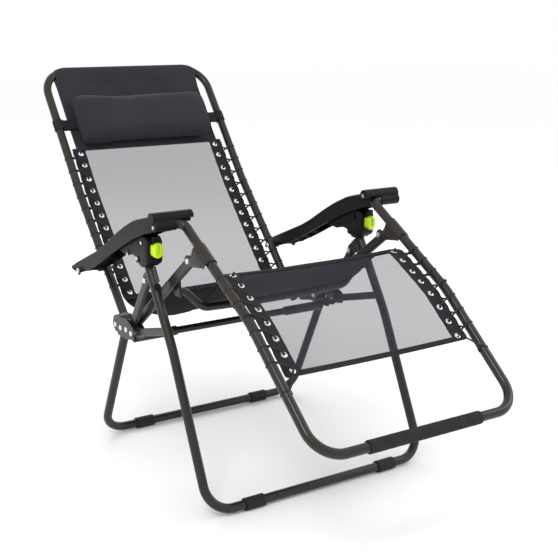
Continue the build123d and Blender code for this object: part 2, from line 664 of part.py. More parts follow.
# ----------------------------------------------------------------- pillow
PILLOW_HALF = 208.0
PILLOW_LOW = 130.0               # from the back's bend up to the pillow's lower edge
PILLOW_HIGH = 295.0
PILLOW_DEEP = 62.0
pillow_way, _ = unit(BACK_BEND, BACK_TOP)
pillow_foot = behind(BACK_BEND, BACK_TOP, PILLOW_LOW, 4.5)
pillow_head = behind(BACK_BEND, BACK_TOP, PILLOW_HIGH, 4.5)
front = (-pillow_way[1], pillow_way[0])
pillow_outline = [
    (pillow_foot[0] + pillow_way[0] * 12, pillow_foot[1] + pillow_way[1] * 12),
    (pillow_foot[0] + front[0] * 16, pillow_foot[1] + front[1] * 16),
    (pillow_foot[0] + front[0] * 44 + pillow_way[0] * 12,
     pillow_foot[1] + front[1] * 44 + pillow_way[1] * 12),
    (pillow_foot[0] + front[0] * PILLOW_DEEP + pillow_way[0] * 50,
     pillow_foot[1] + front[1] * PILLOW_DEEP + pillow_way[1] * 50),
    (pillow_head[0] + front[0] * PILLOW_DEEP - pillow_way[0] * 50,
     pillow_head[1] + front[1] * PILLOW_DEEP - pillow_way[1] * 50),
    (pillow_head[0] + front[0] * 44 - pillow_way[0] * 12,
     pillow_head[1] + front[1] * 44 - pillow_way[1] * 12),
    (pillow_head[0] + front[0] * 16, pillow_head[1] + front[1] * 16),
    (pillow_head[0] - pillow_way[0] * 12, pillow_head[1] - pillow_way[1] * 12),
]
pillow = slab(pillow_outline, -PILLOW_HALF, PILLOW_HALF, 7)
save(pillow, "pillow")

STRAP_WIDE = 30.0
STRAP_THICK = 2.0


def pillow_strap():
    """An elastic loop from the pillow's end round the back tube."""
    middle = along(BACK_BEND, BACK_TOP, (PILLOW_LOW + PILLOW_HIGH) / 2)
    up_the_back = (0, pillow_way[0], pillow_way[1])
    plane = Plane(origin=(X_BACK, middle[0], middle[1]), x_dir=(1, 0, 0), z_dir=up_the_back)
    outer = Circle(TUBE_R + 0.6 + STRAP_THICK) - Circle(TUBE_R + 0.6)
    loop = extrude(plane * outer, amount=STRAP_WIDE / 2, both=True)
    tail_x = (PILLOW_HALF + X_BACK - TUBE_R) / 2 - X_BACK
    tail_length = X_BACK - TUBE_R - PILLOW_HALF
    flat = plane * Pos(tail_x, 0) * Rectangle(tail_length, STRAP_THICK)
    tail = extrude(flat, amount=STRAP_WIDE / 2, both=True)
    return loop + tail - extrude(plane * Circle(TUBE_R + 0.6), amount=STRAP_WIDE, both=True)


strap = pillow_strap()
save(group([strap, other_side(strap)]), "pillow_straps")
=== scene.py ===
"""Zero gravity recliner: fabric, cords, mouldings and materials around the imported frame.

Lengths in this file are millimetres, and MM turns them into Blender's metres. A place in the side
view is (y, z). The sitter faces -Y. Left and right are as seen from the front, so left is -X.
"""
import json
import math

import bmesh
import bpy
import numpy as np
from mathutils import Matrix, Vector


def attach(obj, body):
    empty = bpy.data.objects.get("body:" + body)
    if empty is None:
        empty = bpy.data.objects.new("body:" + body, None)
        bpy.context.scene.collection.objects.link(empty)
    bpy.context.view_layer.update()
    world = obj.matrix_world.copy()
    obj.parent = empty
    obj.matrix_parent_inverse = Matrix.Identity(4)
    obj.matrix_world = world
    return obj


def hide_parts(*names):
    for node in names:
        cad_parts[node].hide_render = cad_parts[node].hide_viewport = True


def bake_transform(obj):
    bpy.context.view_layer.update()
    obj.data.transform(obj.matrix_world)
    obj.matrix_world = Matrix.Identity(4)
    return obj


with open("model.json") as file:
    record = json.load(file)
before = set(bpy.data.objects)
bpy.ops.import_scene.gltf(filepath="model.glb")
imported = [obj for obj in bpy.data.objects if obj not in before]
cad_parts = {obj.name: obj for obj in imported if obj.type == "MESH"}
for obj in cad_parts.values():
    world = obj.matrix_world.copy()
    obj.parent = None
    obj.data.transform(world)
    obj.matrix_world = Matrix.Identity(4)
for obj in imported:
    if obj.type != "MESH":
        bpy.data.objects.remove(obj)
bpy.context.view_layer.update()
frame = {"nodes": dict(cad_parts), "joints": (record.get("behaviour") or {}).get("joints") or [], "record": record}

MM = 0.001
NODES = frame["nodes"]
JOINTS = {joint["name"]: joint for joint in frame["joints"]}
SIDES = (("left", -1), ("right", 1))


def pivot(joint):
    """A joint's place in the side view."""
    _, y, z = JOINTS[joint]["pos_m"]
    return (y / MM, z / MM)


# ---- places of the frame
BACK_PIVOT = pivot("back_recline")
RAIL_PIVOT = pivot("leg_rest_swing")
GRIP_PIVOT = pivot("arm_swing_left")
BACK_BEND = (450, 619)
BACK_TOP = (688, 925)
LEG_BEND = (-436, 479)
FOOT_BAR = (-688, 268)
X_BACK = 256
X_LEG_REST = 267
TUBE_R = 11


def unit(a, b):
    """Unit vector from a to b, and the distance."""
    dy, dz = b[0] - a[0], b[1] - a[1]
    size = math.hypot(dy, dz)
    return (dy / size, dz / size), size


def along(a, b, distance):
    way, _ = unit(a, b)
    return (a[0] + way[0] * distance, a[1] + way[1] * distance)


def behind(a, b, distance, offset):
    """A point along a line, set back from it to its lower side."""
    way, _ = unit(a, b)
    spot = along(a, b, distance)
    return (spot[0] + way[1] * offset, spot[1] - way[0] * offset)


def spread(a, b, count, first, last):
    """Evenly spaced places from a to b, with a margin at each end."""
    _, size = unit(a, b)
    step = (size - first - last) / (count - 1)
    return [along(a, b, first + step * index) for index in range(count)]


def arc(centre, radius, start, end, steps):
    """Points of an arc in the side view, by angles in degrees from +Y towards +Z."""
    angles = [math.radians(start + (end - start) * step / steps) for step in range(steps + 1)]
    return [(centre[0] + radius * math.cos(a), centre[1] + radius * math.sin(a)) for a in angles]


# ---- materials
class Paint:
    """One procedural material: a Principled shader with helpers that add detail to it."""

    def __init__(self, name, color, roughness, metallic=0.0, **sockets):
        self.material = bpy.data.materials.new(name)
        self.material.use_nodes = True
        self.tree = self.material.node_tree
        self.shader = self.tree.nodes["Principled BSDF"]
        self.color = color
        self.roughness = roughness
        self.shader.inputs["Base Color"].default_value = (*color, 1)
        self.shader.inputs["Roughness"].default_value = roughness
        self.shader.inputs["Metallic"].default_value = metallic
        for key, value in sockets.items():
            self.shader.inputs[key.replace("_", " ")].default_value = value
        self.places = self.tree.nodes.new("ShaderNodeTexCoord")
        self.height = None

    def node(self, kind, **values):
        made = self.tree.nodes.new(kind)
        for key, value in values.items():
            if key in made.inputs:
                made.inputs[key].default_value = value
            else:
                setattr(made, key, value)
        return made

    def link(self, source, target):
        self.tree.links.new(source, target)

    def noise(self, scale, detail=3.0, stretch=(1, 1, 1), use_uv=False):
        """A noise pattern, at a scale in features per metre, stretched along an axis."""
        mapping = self.node("ShaderNodeMapping", Scale=stretch)
        self.link(self.places.outputs["UV" if use_uv else "Object"], mapping.inputs["Vector"])
        texture = self.node("ShaderNodeTexNoise", Scale=scale, Detail=detail)
        self.link(mapping.outputs["Vector"], texture.inputs["Vector"])
        return texture.outputs["Fac"]

    def cells(self, scale):
        texture = self.node("ShaderNodeTexVoronoi", Scale=scale)
        self.link(self.places.outputs["Object"], texture.inputs["Vector"])
        return texture.outputs["Distance"]

    def math(self, operation, a, b):
        made = self.node("ShaderNodeMath", operation=operation)
        for socket, value in zip(made.inputs, (a, b)):
            if isinstance(value, (int, float)):
                socket.default_value = value
            else:
                self.link(value, socket)
        return made.outputs["Value"]

    def bands(self, along_u, pitch):
        """Ridges across a woven cloth, at a thread pitch in millimetres, in the cloth's own directions."""
        split = self.node("ShaderNodeSeparateXYZ")
        self.link(self.places.outputs["UV"], split.inputs["Vector"])
        turn = self.math("MULTIPLY", split.outputs["X" if along_u else "Y"], 2 * math.pi / (pitch * MM))
        wave = self.math("SINE", turn, 0)
        return self.math("ADD", self.math("MULTIPLY", wave, 0.5), 0.5)

    def weave(self, warp, weft):
        """Over-and-under threads: warp and weft pitches in millimetres."""
        one = self.bands(True, warp)
        two = self.bands(False, weft)
        half = self.math("MULTIPLY", self.bands(True, warp * 2), self.bands(False, weft * 2))
        raised = self.math("MULTIPLY", self.math("MAXIMUM", one, two), self.math("ADD", half, 0.5))
        return raised

    def ramp(self, pattern, source, result):
        """Map a pattern from one (low, high) range to another."""
        made = self.node("ShaderNodeMapRange")
        for name, value in zip(("From Min", "From Max", "To Min", "To Max"), (*source, *result)):
            made.inputs[name].default_value = value
        self.link(pattern, made.inputs["Value"])
        return made.outputs["Result"]

    def scale_color(self, factor):
        """Multiply the colour so far by a factor."""
        mix = self.node("ShaderNodeVectorMath", operation="SCALE")
        base = self.shader.inputs["Base Color"]
        if base.is_linked:
            self.link(base.links[0].from_socket, mix.inputs[0])
        else:
            mix.inputs[0].default_value = self.color
        self.link(factor, mix.inputs["Scale"])
        self.link(mix.outputs["Vector"], base)
        return self

    def tint(self, pattern, low, high):
        """Vary the colour between two brightness factors by a pattern."""
        return self.scale_color(self.ramp(pattern, (0.25, 0.75), (low, high)))

    def rough(self, pattern, spread_by):
        """Vary the roughness both ways by a pattern."""
        limits = (self.roughness - spread_by, self.roughness + spread_by)
        self.link(self.ramp(pattern, (0.2, 0.8), limits), self.shader.inputs["Roughness"])
        return self

    def bump(self, pattern, depth_mm, strength=0.6):
        """Add relief of a real depth. Several layers add up."""
        made = self.node("ShaderNodeBump", Strength=strength, Distance=depth_mm * MM)
        self.link(pattern, made.inputs["Height"])
        if self.height is not None:
            self.link(self.height, made.inputs["Normal"])
        self.height = made.outputs["Normal"]
        self.link(self.height, self.shader.inputs["Normal"])
        return self

    def edges(self, brighter, width_mm=1.2):
        """Wear and dust where the surface turns sharply."""
        bevel = self.node("ShaderNodeBevel", Radius=width_mm * MM)
        shape = self.node("ShaderNodeNewGeometry")
        dot = self.node("ShaderNodeVectorMath", operation="DOT_PRODUCT")
        self.link(bevel.outputs["Normal"], dot.inputs[0])
        self.link(shape.outputs["Normal"], dot.inputs[1])
        return self.scale_color(self.ramp(dot.outputs["Value"], (1.0, 0.82), (1.0, brighter)))


def make_tube_paint():
    coat = {"Coat_Weight": 0.12, "Coat_Roughness": 0.15}
    paint = Paint("tube_paint", (0.0165, 0.0130, 0.0090), 0.30, Specular_IOR_Level=0.32, **coat)
    paint.tint(paint.noise(9, 4), 0.82, 1.2)
    paint.rough(paint.noise(60, 3), 0.06)
    return paint.bump(paint.noise(900, 2), 0.06, 0.35).edges(1.7).material


def make_black_plastic():
    paint = Paint("black_plastic", (0.0066, 0.0060, 0.0080), 0.44, Specular_IOR_Level=0.15)
    paint.tint(paint.noise(30, 3), 0.85, 1.2)
    paint.rough(paint.noise(140, 3), 0.07)
    return paint.bump(paint.cells(1500), 0.08, 0.5).edges(1.8).material


def make_lime_plastic():
    paint = Paint("lime_plastic", (0.56, 0.83, 0.012), 0.30, Coat_Weight=0.2, Subsurface_Weight=0.08)
    paint.shader.inputs["Subsurface Radius"].default_value = (0.004, 0.004, 0.001)
    paint.tint(paint.noise(60, 2), 0.93, 1.06)
    return paint.bump(paint.noise(1200, 2), 0.03, 0.3).material


def make_plated_steel():
    paint = Paint("plated_steel", (0.74, 0.74, 0.76), 0.24, 1.0)
    paint.tint(paint.noise(220, 3), 0.8, 1.05)
    paint.rough(paint.noise(400, 2), 0.08)
    return paint.bump(paint.noise(1600, 2, (1, 8, 1)), 0.03, 0.3).material


def make_rubber():
    paint = Paint("sleeve_rubber", (0.010, 0.010, 0.010), 0.62, Specular_IOR_Level=0.3)
    paint.tint(paint.noise(70, 3), 0.8, 1.4)
    return paint.bump(paint.noise(700, 3), 0.12, 0.5).edges(1.6).material


def make_foam():
    paint = Paint("foot_foam", (0.018, 0.017, 0.018), 0.86, Specular_IOR_Level=0.25)
    paint.tint(paint.noise(45, 4), 0.8, 1.35)
    paint.bump(paint.cells(900), 0.25, 0.6)
    return paint.bump(paint.noise(160, 3), 0.3, 0.3).material


MESH_ALPHA = 0.355   # seen through both faces, half of the cloth is open


def make_mesh_cloth():
    """Coated open mesh: half of it is thread, and the gaps let the light through."""
    paint = Paint("open_mesh", (0.030, 0.025, 0.037), 0.6, Specular_IOR_Level=0.2)
    paint.shader.inputs["Alpha"].default_value = MESH_ALPHA
    weave = paint.weave(1.9, 1.4)
    paint.tint(weave, 0.8, 1.25)
    paint.tint(paint.noise(5, 3, use_uv=True), 0.9, 1.12)
    paint.bump(weave, 0.22, 0.7)
    return paint.material


def make_black_cloth(name, color, warp, weft, depth, gloss=0.22):
    """Woven polyester: threads, slubs, and broad shading from handling."""
    sheen = {"Sheen_Weight": gloss * 0.2, "Sheen_Roughness": 0.4}
    paint = Paint(name, color, 0.82, Specular_IOR_Level=gloss, **sheen)
    weave = paint.weave(warp, weft)
    paint.tint(weave, 0.78, 1.3)
    paint.tint(paint.noise(7, 4, use_uv=True), 0.85, 1.18)
    paint.tint(paint.noise(90, 2, (1, 9, 1), use_uv=True), 0.92, 1.1)
    paint.bump(weave, depth, 0.8)
    paint.bump(paint.noise(26, 4), 0.9, 0.25)
    return paint.material


def make_cord():
    """Braided sleeve over elastic: diagonal strands in the cord's own directions, with painted highlights on their
    crowns and painted shade between them.
    """
    paint = Paint("cord_braid", (0.0165, 0.0135, 0.0105), 0.6, Specular_IOR_Level=0.28)
    split = paint.node("ShaderNodeSeparateXYZ")
    paint.link(paint.places.outputs["UV"], split.inputs["Vector"])
    around = paint.math("MULTIPLY", split.outputs["X"], 8 * 2 * math.pi)
    run = paint.math("MULTIPLY", split.outputs["Y"], 2 * math.pi / (5.5 * MM))
    one = paint.math("SINE", paint.math("ADD", run, around), 0)
    two = paint.math("SINE", paint.math("SUBTRACT", run, around), 0)
    strands = paint.math("MAXIMUM", one, two)
    # Painted highlight: the strand crowns are lightened, and the grooves between strands are darkened as painted
    # shade.
    paint.tint(paint.math("ADD", paint.math("MULTIPLY", strands, 0.5), 0.3), 0.7, 1.5)
    return paint.bump(strands, 0.2, 0.8).material


def make_thread():
    paint = Paint("sewing_thread", (0.034, 0.033, 0.036), 0.6, Specular_IOR_Level=0.3)
    return paint.tint(paint.noise(500, 2), 0.7, 1.4).bump(paint.noise(2500, 2), 0.05, 0.5).material


TUBE_PAINT = make_tube_paint()
BLACK_PLASTIC = make_black_plastic()
LIME_PLASTIC = make_lime_plastic()
PLATED_STEEL = make_plated_steel()
RUBBER = make_rubber()
FOAM = make_foam()
MESH_CLOTH = make_mesh_cloth()
SEAT_CLOTH = make_black_cloth("seat_cloth", (0.0125, 0.0102, 0.0130), 1.1, 0.9, 0.14, gloss=0.08)
BORDER_CLOTH = make_black_cloth("border_webbing", (0.016, 0.015, 0.018), 1.5, 1.1, 0.2)
PILLOW_CLOTH = make_black_cloth("pillow_cloth", (0.024, 0.022, 0.027), 0.9, 0.8, 0.1)
CORD = make_cord()
THREAD = make_thread()

NODE_PAINT = {
    "painted_metal": TUBE_PAINT,
    "matte_plastic": BLACK_PLASTIC,
    "gloss_plastic": LIME_PLASTIC,
    "brushed_steel": PLATED_STEEL,
    "rubber": RUBBER,
    "fabric": SEAT_CLOTH,
}


def paint_frame():
    """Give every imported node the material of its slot's class."""
    record = frame["record"]
    classes = {entry["slot"]: entry["class"] for entry in record["materials"]}
    for part in record["subparts"]:
        node = NODES[part["node"]]
        node.data.materials.clear()
        node.data.materials.append(NODE_PAINT[classes[part["material_slot"]]])


paint_frame()


# ---- mesh building
def piece(name, verts, faces, material, uvs=None):
    """A mesh object from places in millimetres. uvs holds one (u, v) in metres for each vertex."""
    mesh = bpy.data.meshes.new(name)
    mesh.from_pydata([Vector(v) * MM for v in verts], [], faces)
    mesh.validate()
    if uvs is not None:
        layer = mesh.uv_layers.new(name="cloth")
        for loop in mesh.loops:
            layer.data[loop.index].uv = uvs[loop.vertex_index]
    mesh.materials.append(material)
    all_smooth(mesh)
    made = bpy.data.objects.new(name, mesh)
    bpy.context.scene.collection.objects.link(made)
    return made


def all_smooth(mesh):
    mesh.polygons.foreach_set("use_smooth", [True] * len(mesh.polygons))


def settle(made):
    """Apply an object's modifiers to its mesh."""
    shapes = bpy.context.evaluated_depsgraph_get()
    mesh = bpy.data.meshes.new_from_object(made.evaluated_get(shapes))
    made.modifiers.clear()
    made.data = mesh
    return made


def rounded(made, width_mm):
    """Bevel the sharp edges and keep the flat faces flat."""
    bevel = made.modifiers.new("edge", "BEVEL")
    bevel.width = width_mm * MM
    bevel.segments = 3
    bevel.limit_method = "ANGLE"
    bevel.angle_limit = math.radians(35)
    settle(made)
    smooth_by_angle(made)
    return made


def smooth_by_angle(made, angle=42):
    """Smooth shading with the sharp edges kept."""
    shape = bmesh.new()
    shape.from_mesh(made.data)
    for edge in shape.edges:
        if len(edge.link_faces) == 2:
            edge.smooth = edge.calc_face_angle(0) < math.radians(angle)
    shape.to_mesh(made.data)
    shape.free()
    all_smooth(made.data)


def extruded(name, outline, x0, x1, material, bevel):
    """A side view outline, extruded across the chair, with rounded edges."""
    verts = [(x, y, z) for x in (x0, x1) for y, z in outline]
    made = piece(name, verts, ring_faces(2, len(outline)), material)
    tidy_normals(made)
    return rounded(made, bevel) if bevel else made


def tidy_normals(made):
    """Turn every face outwards."""
    shape = bmesh.new()
    shape.from_mesh(made.data)
    bmesh.ops.recalc_face_normals(shape, faces=shape.faces)
    shape.to_mesh(made.data)
    shape.free()


def ring_faces(rings, size, closed=False, caps=True):
    """Faces between rings of places. A closed row of rings meets its own start, and has no caps."""
    faces = []
    for ring in range(rings if closed else rings - 1):
        here, there = ring * size, ((ring + 1) % rings) * size
        for index in range(size):
            after = (index + 1) % size
            faces.append((here + index, here + after, there + after, there + index))
    if caps and not closed:
        faces.append(tuple(reversed(range(size))))
        faces.append(tuple(range((rings - 1) * size, rings * size)))
    return faces


def turned(centre, axis, radius, height, turns):
    """A place round an axis, given its radius, its height and how many turns round it is."""
    axis = Vector(axis).normalized()
    side = axis.orthogonal().normalized()
    angle = 2 * math.pi * turns
    spoke = side * math.cos(angle) + axis.cross(side) * math.sin(angle)
    return Vector(centre) + spoke * radius + axis * height


def lathe(name, profile, centre, axis, material, sides=28, closed=True):
    """A turned piece: profile is (radius, height) along the axis, from the centre."""
    verts = []
    for radius, height in profile:
        verts += [turned(centre, axis, radius, height, index / sides) for index in range(sides)]
    made = piece(name, verts, ring_faces(len(profile), sides, closed), material)
    tidy_normals(made)
    smooth_by_angle(made)
    return made


def joined(name, pieces):
    """Several meshes as one object."""
    shape = bmesh.new()
    for part in pieces:
        shape.from_mesh(part.data)
    mesh = bpy.data.meshes.new(name)
    shape.to_mesh(mesh)
    shape.free()
    for material in pieces[0].data.materials:
        mesh.materials.append(material)
    made = bpy.data.objects.new(name, mesh)
    bpy.context.scene.collection.objects.link(made)
    for part in pieces:
        bpy.data.objects.remove(part)
    return made


def tube_mesh(name, points, radius, material, closed=False):
    """A round cord on a smooth line led by control points, with its own directions as UVs."""
    curve = bpy.data.curves.new(name + "_line", "CURVE")
    curve.dimensions = "3D"
    spline = curve.splines.new("NURBS")
    spline.points.add(len(points) - 1)
    for control, place in zip(spline.points, points):
        control.co = (*(Vector(place) * MM), 1)
    spline.order_u = 3
    spline.use_endpoint_u = not closed
    spline.use_cyclic_u = closed
    spline.resolution_u = 6
    holder = bpy.data.objects.new(name + "_line", curve)
    bpy.context.scene.collection.objects.link(holder)
    shapes = bpy.context.evaluated_depsgraph_get()
    line = bpy.data.meshes.new_from_object(holder.evaluated_get(shapes))
    path = [v.co / MM for v in line.vertices]
    bpy.data.objects.remove(holder)
    return skin(name, path, radius, material, closed)


CORD_SIDES = 10


def skin(name, path, radius, material, closed):
    """A tube round a list of close points. The frame turns with the line, without twisting."""
    count = len(path)
    verts, uvs = [], []
    normal = None
    run = 0.0
    for index, place in enumerate(path):
        before = path[index - 1] if index or closed else path[0]
        after = path[(index + 1) % count] if index < count - 1 or closed else path[-1]
        way = (after - before).normalized()
        if normal is None:
            normal = way.orthogonal().normalized()
        normal = (normal - way * normal.dot(way)).normalized()
        other = way.cross(normal)
        if index:
            run += (place - path[index - 1]).length
        for turn in range(CORD_SIDES):
            angle = 2 * math.pi * turn / CORD_SIDES
            verts.append(place + (normal * math.cos(angle) + other * math.sin(angle)) * radius)
            uvs.append((turn / CORD_SIDES, run * MM))
    return piece(name, verts, ring_faces(count, CORD_SIDES, closed), material, uvs)


def dress(parts, body):
    """Let pieces ride on a body."""
    for part in parts:
        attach(part, body)


# ---- the sling's surface
class SideLine:
    """A smooth line in the side view through a few points, read by the distance along it."""

    def __init__(self, points, softness=30):
        samples = []
        for a, b in zip(points, points[1:]):
            _, size = unit(a, b)
            steps = max(2, int(size / 4))
            samples += [along(a, b, size * k / steps) for k in range(steps)]
        line = np.array(samples + [points[-1]], float)
        for _ in range(softness):
            line[1:-1] = (line[:-2] + 2 * line[1:-1] + line[2:]) / 4
        self.line = line
        self.runs = np.concatenate([[0], np.cumsum(np.linalg.norm(np.diff(line, axis=0), axis=1))])
        self.length = float(self.runs[-1])

    def at(self, s):
        y, z = (float(np.interp(s, self.runs, self.line[:, axis])) for axis in (0, 1))
        return y, z

    def normal(self, s):
        """The direction towards the sitter."""
        a = self.at(max(0.0, s - 6))
        b = self.at(min(self.length, s + 6))
        way, _ = unit(a, b)
        return (-way[1], way[0])

    def nearest(self, place):
        """The distance along the line of the point nearest to a place."""
        gaps = np.hypot(self.line[:, 0] - place[0], self.line[:, 1] - place[1])
        return float(self.runs[int(np.argmin(gaps))])


LEG_HEM = 139                    # from the leg rest's bend down to the hem
BACK_HEM = 76                    # from the back's pivot up to the lower end of its mesh
PANEL_SEAM = 136                 # from the back's bend up to the head panel
SET_BACK = 7
hem_place = behind(LEG_BEND, FOOT_BAR, LEG_HEM, -4)
knee_place = behind(LEG_BEND, FOOT_BAR, 0, -5)
crest_place = (-296, 549)
back_low = behind(BACK_PIVOT, BACK_BEND, BACK_HEM, SET_BACK + 6)
back_mid = behind(BACK_BEND, BACK_TOP, 0, SET_BACK + 2)
back_high = behind(BACK_BEND, BACK_TOP, PANEL_SEAM, SET_BACK)
_, high_span = unit(BACK_BEND, BACK_TOP)
crown_place = behind(BACK_BEND, BACK_TOP, high_span - 3, SET_BACK - 1)
SEAT_POINTS = [
    (-250, 537), (-205, 508), (-165, 474), (-120, 449), (-60, 418), (0, 390), (60, 369), (120, 357),
    (180, 358),
]

leg_points = [hem_place, knee_place, crest_place]
back_points = [back_low, back_mid, back_high, crown_place]
SLING = SideLine(leg_points + SEAT_POINTS + back_points)
S_HEM = 0.0
S_CREST = SLING.nearest(crest_place)
S_SPLIT = SLING.nearest((62, 369))
S_BACK_LOW = SLING.nearest(back_low)
S_SEAM = SLING.nearest(back_high)

LEG_EYE_X, LEG_HALF = 224, 247
BACK_EYE_X, BACK_HALF, BACK_MESH_HALF = 213, 236, 198
SEAT_HALF = 214
UPPER_EYES = (4, 6, 10)
LOWER_EYES = (8, 11, 34)
CALF_EYES = (4, 14, 5)
KNEE_EYES = (4, 35, 4)

back_eyes = spread(back_low, back_mid, *LOWER_EYES) + spread(back_mid, back_high, *UPPER_EYES)
leg_eyes = spread(hem_place, knee_place, *CALF_EYES) + spread(knee_place, crest_place, *KNEE_EYES)
back_eye_runs = np.array([SLING.nearest(place) for place in back_eyes])
leg_eye_runs = np.array([SLING.nearest(place) for place in leg_eyes])
EYE_RUNS = np.concatenate([leg_eye_runs, back_eye_runs])


def ease(value, low, high):
    """0 below low, 1 above high, and smooth between."""
    share = min(1.0, max(0.0, (value - low) / (high - low)))
    return share * share * (3 - 2 * share)


def half_width(s):
    """Half the sling's width at a distance along it."""
    into_seat = ease(s, S_CREST - 10, S_CREST + 120)
    out_of_seat = ease(s, S_BACK_LOW - 150, S_BACK_LOW)
    return LEG_HALF + (SEAT_HALF - LEG_HALF) * into_seat + (BACK_HALF - SEAT_HALF) * out_of_seat


def mesh_half(s):
    return half_width(s) - (BACK_HALF - BACK_MESH_HALF)


SAG, SAG_CHANGE = 5.0, 3.0       # the laced mesh hangs in its middle, by a depth that varies
SIDE_DROP = 16.0                 # how far the seat cloth's free edges hang
PULL_REACH, PULL_LIFT = 11.0, 0.9   # round each eyelet
RIPPLE = 1.6                     # of the seat cloth
SCALLOP = 2.0                    # the border draws in between two eyelets


def sling_point(x, s, lift=0.0):
    """A place on the sling: x across it, s along it, and a lift towards the sitter."""
    half = half_width(s)
    side = min(1.0, abs(x) / half)
    y, z = SLING.at(s)
    ny, nz = SLING.normal(s)
    on_seat = ease(s, S_CREST, S_CREST + 90) * (1 - ease(s, S_BACK_LOW - 90, S_BACK_LOW + 20))
    sag = SAG + SAG_CHANGE * math.sin(s / 150.0)
    depth = -sag * (1 - side ** 2) * (1 - on_seat)
    depth -= SIDE_DROP * on_seat * side ** 4 * math.sin(math.pi * ease(s, S_CREST, S_SPLIT + 60))
    nearest = float(np.min(np.abs(EYE_RUNS - s)))
    pull = math.exp(-(nearest / PULL_REACH) ** 2)
    depth += PULL_LIFT * (pull - 0.4) * side ** 6 * (1 - on_seat)
    depth += on_seat * RIPPLE * math.sin(s / 23.0 + x / 90.0) * math.sin(x / 61.0 + 1.0)
    scallop = SCALLOP * (1 - pull) * side ** 8 * (1 - on_seat)
    x = x - math.copysign(scallop, x)
    return (x, y + ny * (depth + lift), z + nz * (depth + lift))


def cloth(name, x0, x1, s0, s1, thick, material, cols, rows, lift=0.0):
    """A thin closed panel of the sling. x0 and x1 are functions of the distance along it."""
    verts, uvs, faces = [], [], []
    wide = cols + 1
    for side in (1, -1):
        for row in range(rows + 1):
            s = s0 + (s1 - s0) * row / rows
            for col in range(wide):
                x = x0(s) + (x1(s) - x0(s)) * col / cols
                verts.append(sling_point(x, s, lift + side * thick / 2))
                uvs.append((x * MM, s * MM))
    under = wide * (rows + 1)
    for row in range(rows):
        for col in range(cols):
            a = row * wide + col
            faces.append((a, a + 1, a + 1 + wide, a + wide))
            faces.append((under + a, under + a + wide, under + a + 1 + wide, under + a + 1))
    rim = list(range(wide)) + [row * wide + cols for row in range(1, rows + 1)]
    rim += [rows * wide + col for col in range(cols - 1, -1, -1)]
    rim += [row * wide for row in range(rows - 1, 0, -1)]
    for here, there in zip(rim, rim[1:] + rim[:1]):
        faces.append((there, here, under + here, under + there))
    return piece(name, verts, faces, material, uvs)


STITCH = 2.6
STITCH_GAP = 1.3
THREAD_R = 0.32


def stitches(name, place, runs):
    """Short threads along rows. place(row, distance) is a point; runs holds (row, first, last)."""
    verts, faces = [], []
    for row, first, last in runs:
        count = max(1, int(abs(last - first) / (STITCH + STITCH_GAP)))
        for index in range(count):
            begin = first + (last - first) * index / count
            end = begin + math.copysign(STITCH, last - first)
            a, b = Vector(place(row, begin)), Vector(place(row, end))
            way = (b - a).normalized()
            side = way.orthogonal().normalized() * THREAD_R
            up = way.cross(side)
            base = len(verts)
            for spot, grow in ((a, 0.4), ((a + b) / 2, 1.35), (b, 0.4)):
                verts += [spot + side * grow, spot + up * grow, spot - side * grow, spot - up * grow]
            faces += [tuple(base + corner for corner in face) for face in ring_faces(3, 4)]
    return piece(name, verts, faces, THREAD)


EYE_OUT, EYE_IN, EYE_RISE = 7.6, 3.9, 1.1
EYE_PROFILE = [
    (EYE_IN, -EYE_RISE), (EYE_IN + 0.5, -EYE_RISE - 0.9), (EYE_OUT - 1.2, -EYE_RISE - 0.7),
    (EYE_OUT, -EYE_RISE + 0.1), (EYE_OUT - 0.6, -EYE_RISE + 0.4), (EYE_IN + 0.9, -EYE_RISE + 0.3),
    (EYE_IN + 0.9, EYE_RISE - 0.3), (EYE_OUT - 0.6, EYE_RISE - 0.4), (EYE_OUT, EYE_RISE - 0.1),
    (EYE_OUT - 1.2, EYE_RISE + 0.8), (EYE_IN + 0.5, EYE_RISE + 1.0), (EYE_IN, EYE_RISE),
]
EYE_HOLE = [(EYE_IN + 0.7, -8), (EYE_IN + 0.7, 8)]


def eyelets(name, runs, x):
    """Rolled metal eyelets in the borders, on both sides."""
    rings = []
    for s in runs:
        for _, sign in SIDES:
            centre = Vector(sling_point(sign * x, s))
            ny, nz = SLING.normal(s)
            rings.append(lathe(name, EYE_PROFILE, centre, (0, ny, nz), PLATED_STEEL, 24))
    return joined(name, rings)


def punch(made, runs, x):
    """Cut the eyelets' holes through a border."""
    plugs = []
    for s in runs:
        centre = Vector(sling_point(x, s))
        ny, nz = SLING.normal(s)
        plugs.append(lathe("plug", EYE_HOLE, centre, (0, ny, nz), THREAD, 16, closed=False))
    cutter = joined("cutter", plugs)
    cut = made.modifiers.new("eyes", "BOOLEAN")
    cut.operation = "DIFFERENCE"
    cut.solver = "EXACT"
    cut.object = cutter
    settle(made)
    bpy.data.objects.remove(cutter)
    smooth_by_angle(made)
    return made


# ---- back and leg mesh
MESH_THICK, BORDER_THICK, SEAT_THICK, HEM_THICK = 0.9, 2.0, 2.4, 3.0
TUCK = 3                         # how far the mesh reaches into its border
STITCH_ROWS = (2.5, 7.0)         # from the border's inner edge


def panel(name, half, s0, s1, thick, material, cols, rows, lift=0.0):
    """A panel as wide as half, a function of the distance, says to each side."""
    return cloth(name, lambda s: -half(s), half, s0, s1, thick, material, cols, rows, lift)


def open_mesh(name, first, last, cols, rows):
    return panel(name, lambda s: mesh_half(s) + TUCK, first, last, MESH_THICK, MESH_CLOTH, cols, rows)


def laced_borders(name, s0, s1, runs, eye_x, rows):
    """A doubled strip of webbing along each side of the sling, with its eyelet holes."""
    made = []
    for word, side in SIDES:
        inner, outer = (lambda s: side * mesh_half(s)), (lambda s: side * half_width(s))
        strip = cloth(f"{name}_{word}", inner, outer, s0, s1, BORDER_THICK, BORDER_CLOTH, 8, rows)
        tidy_normals(strip)
        made.append(punch(strip, runs, side * eye_x))
    return made


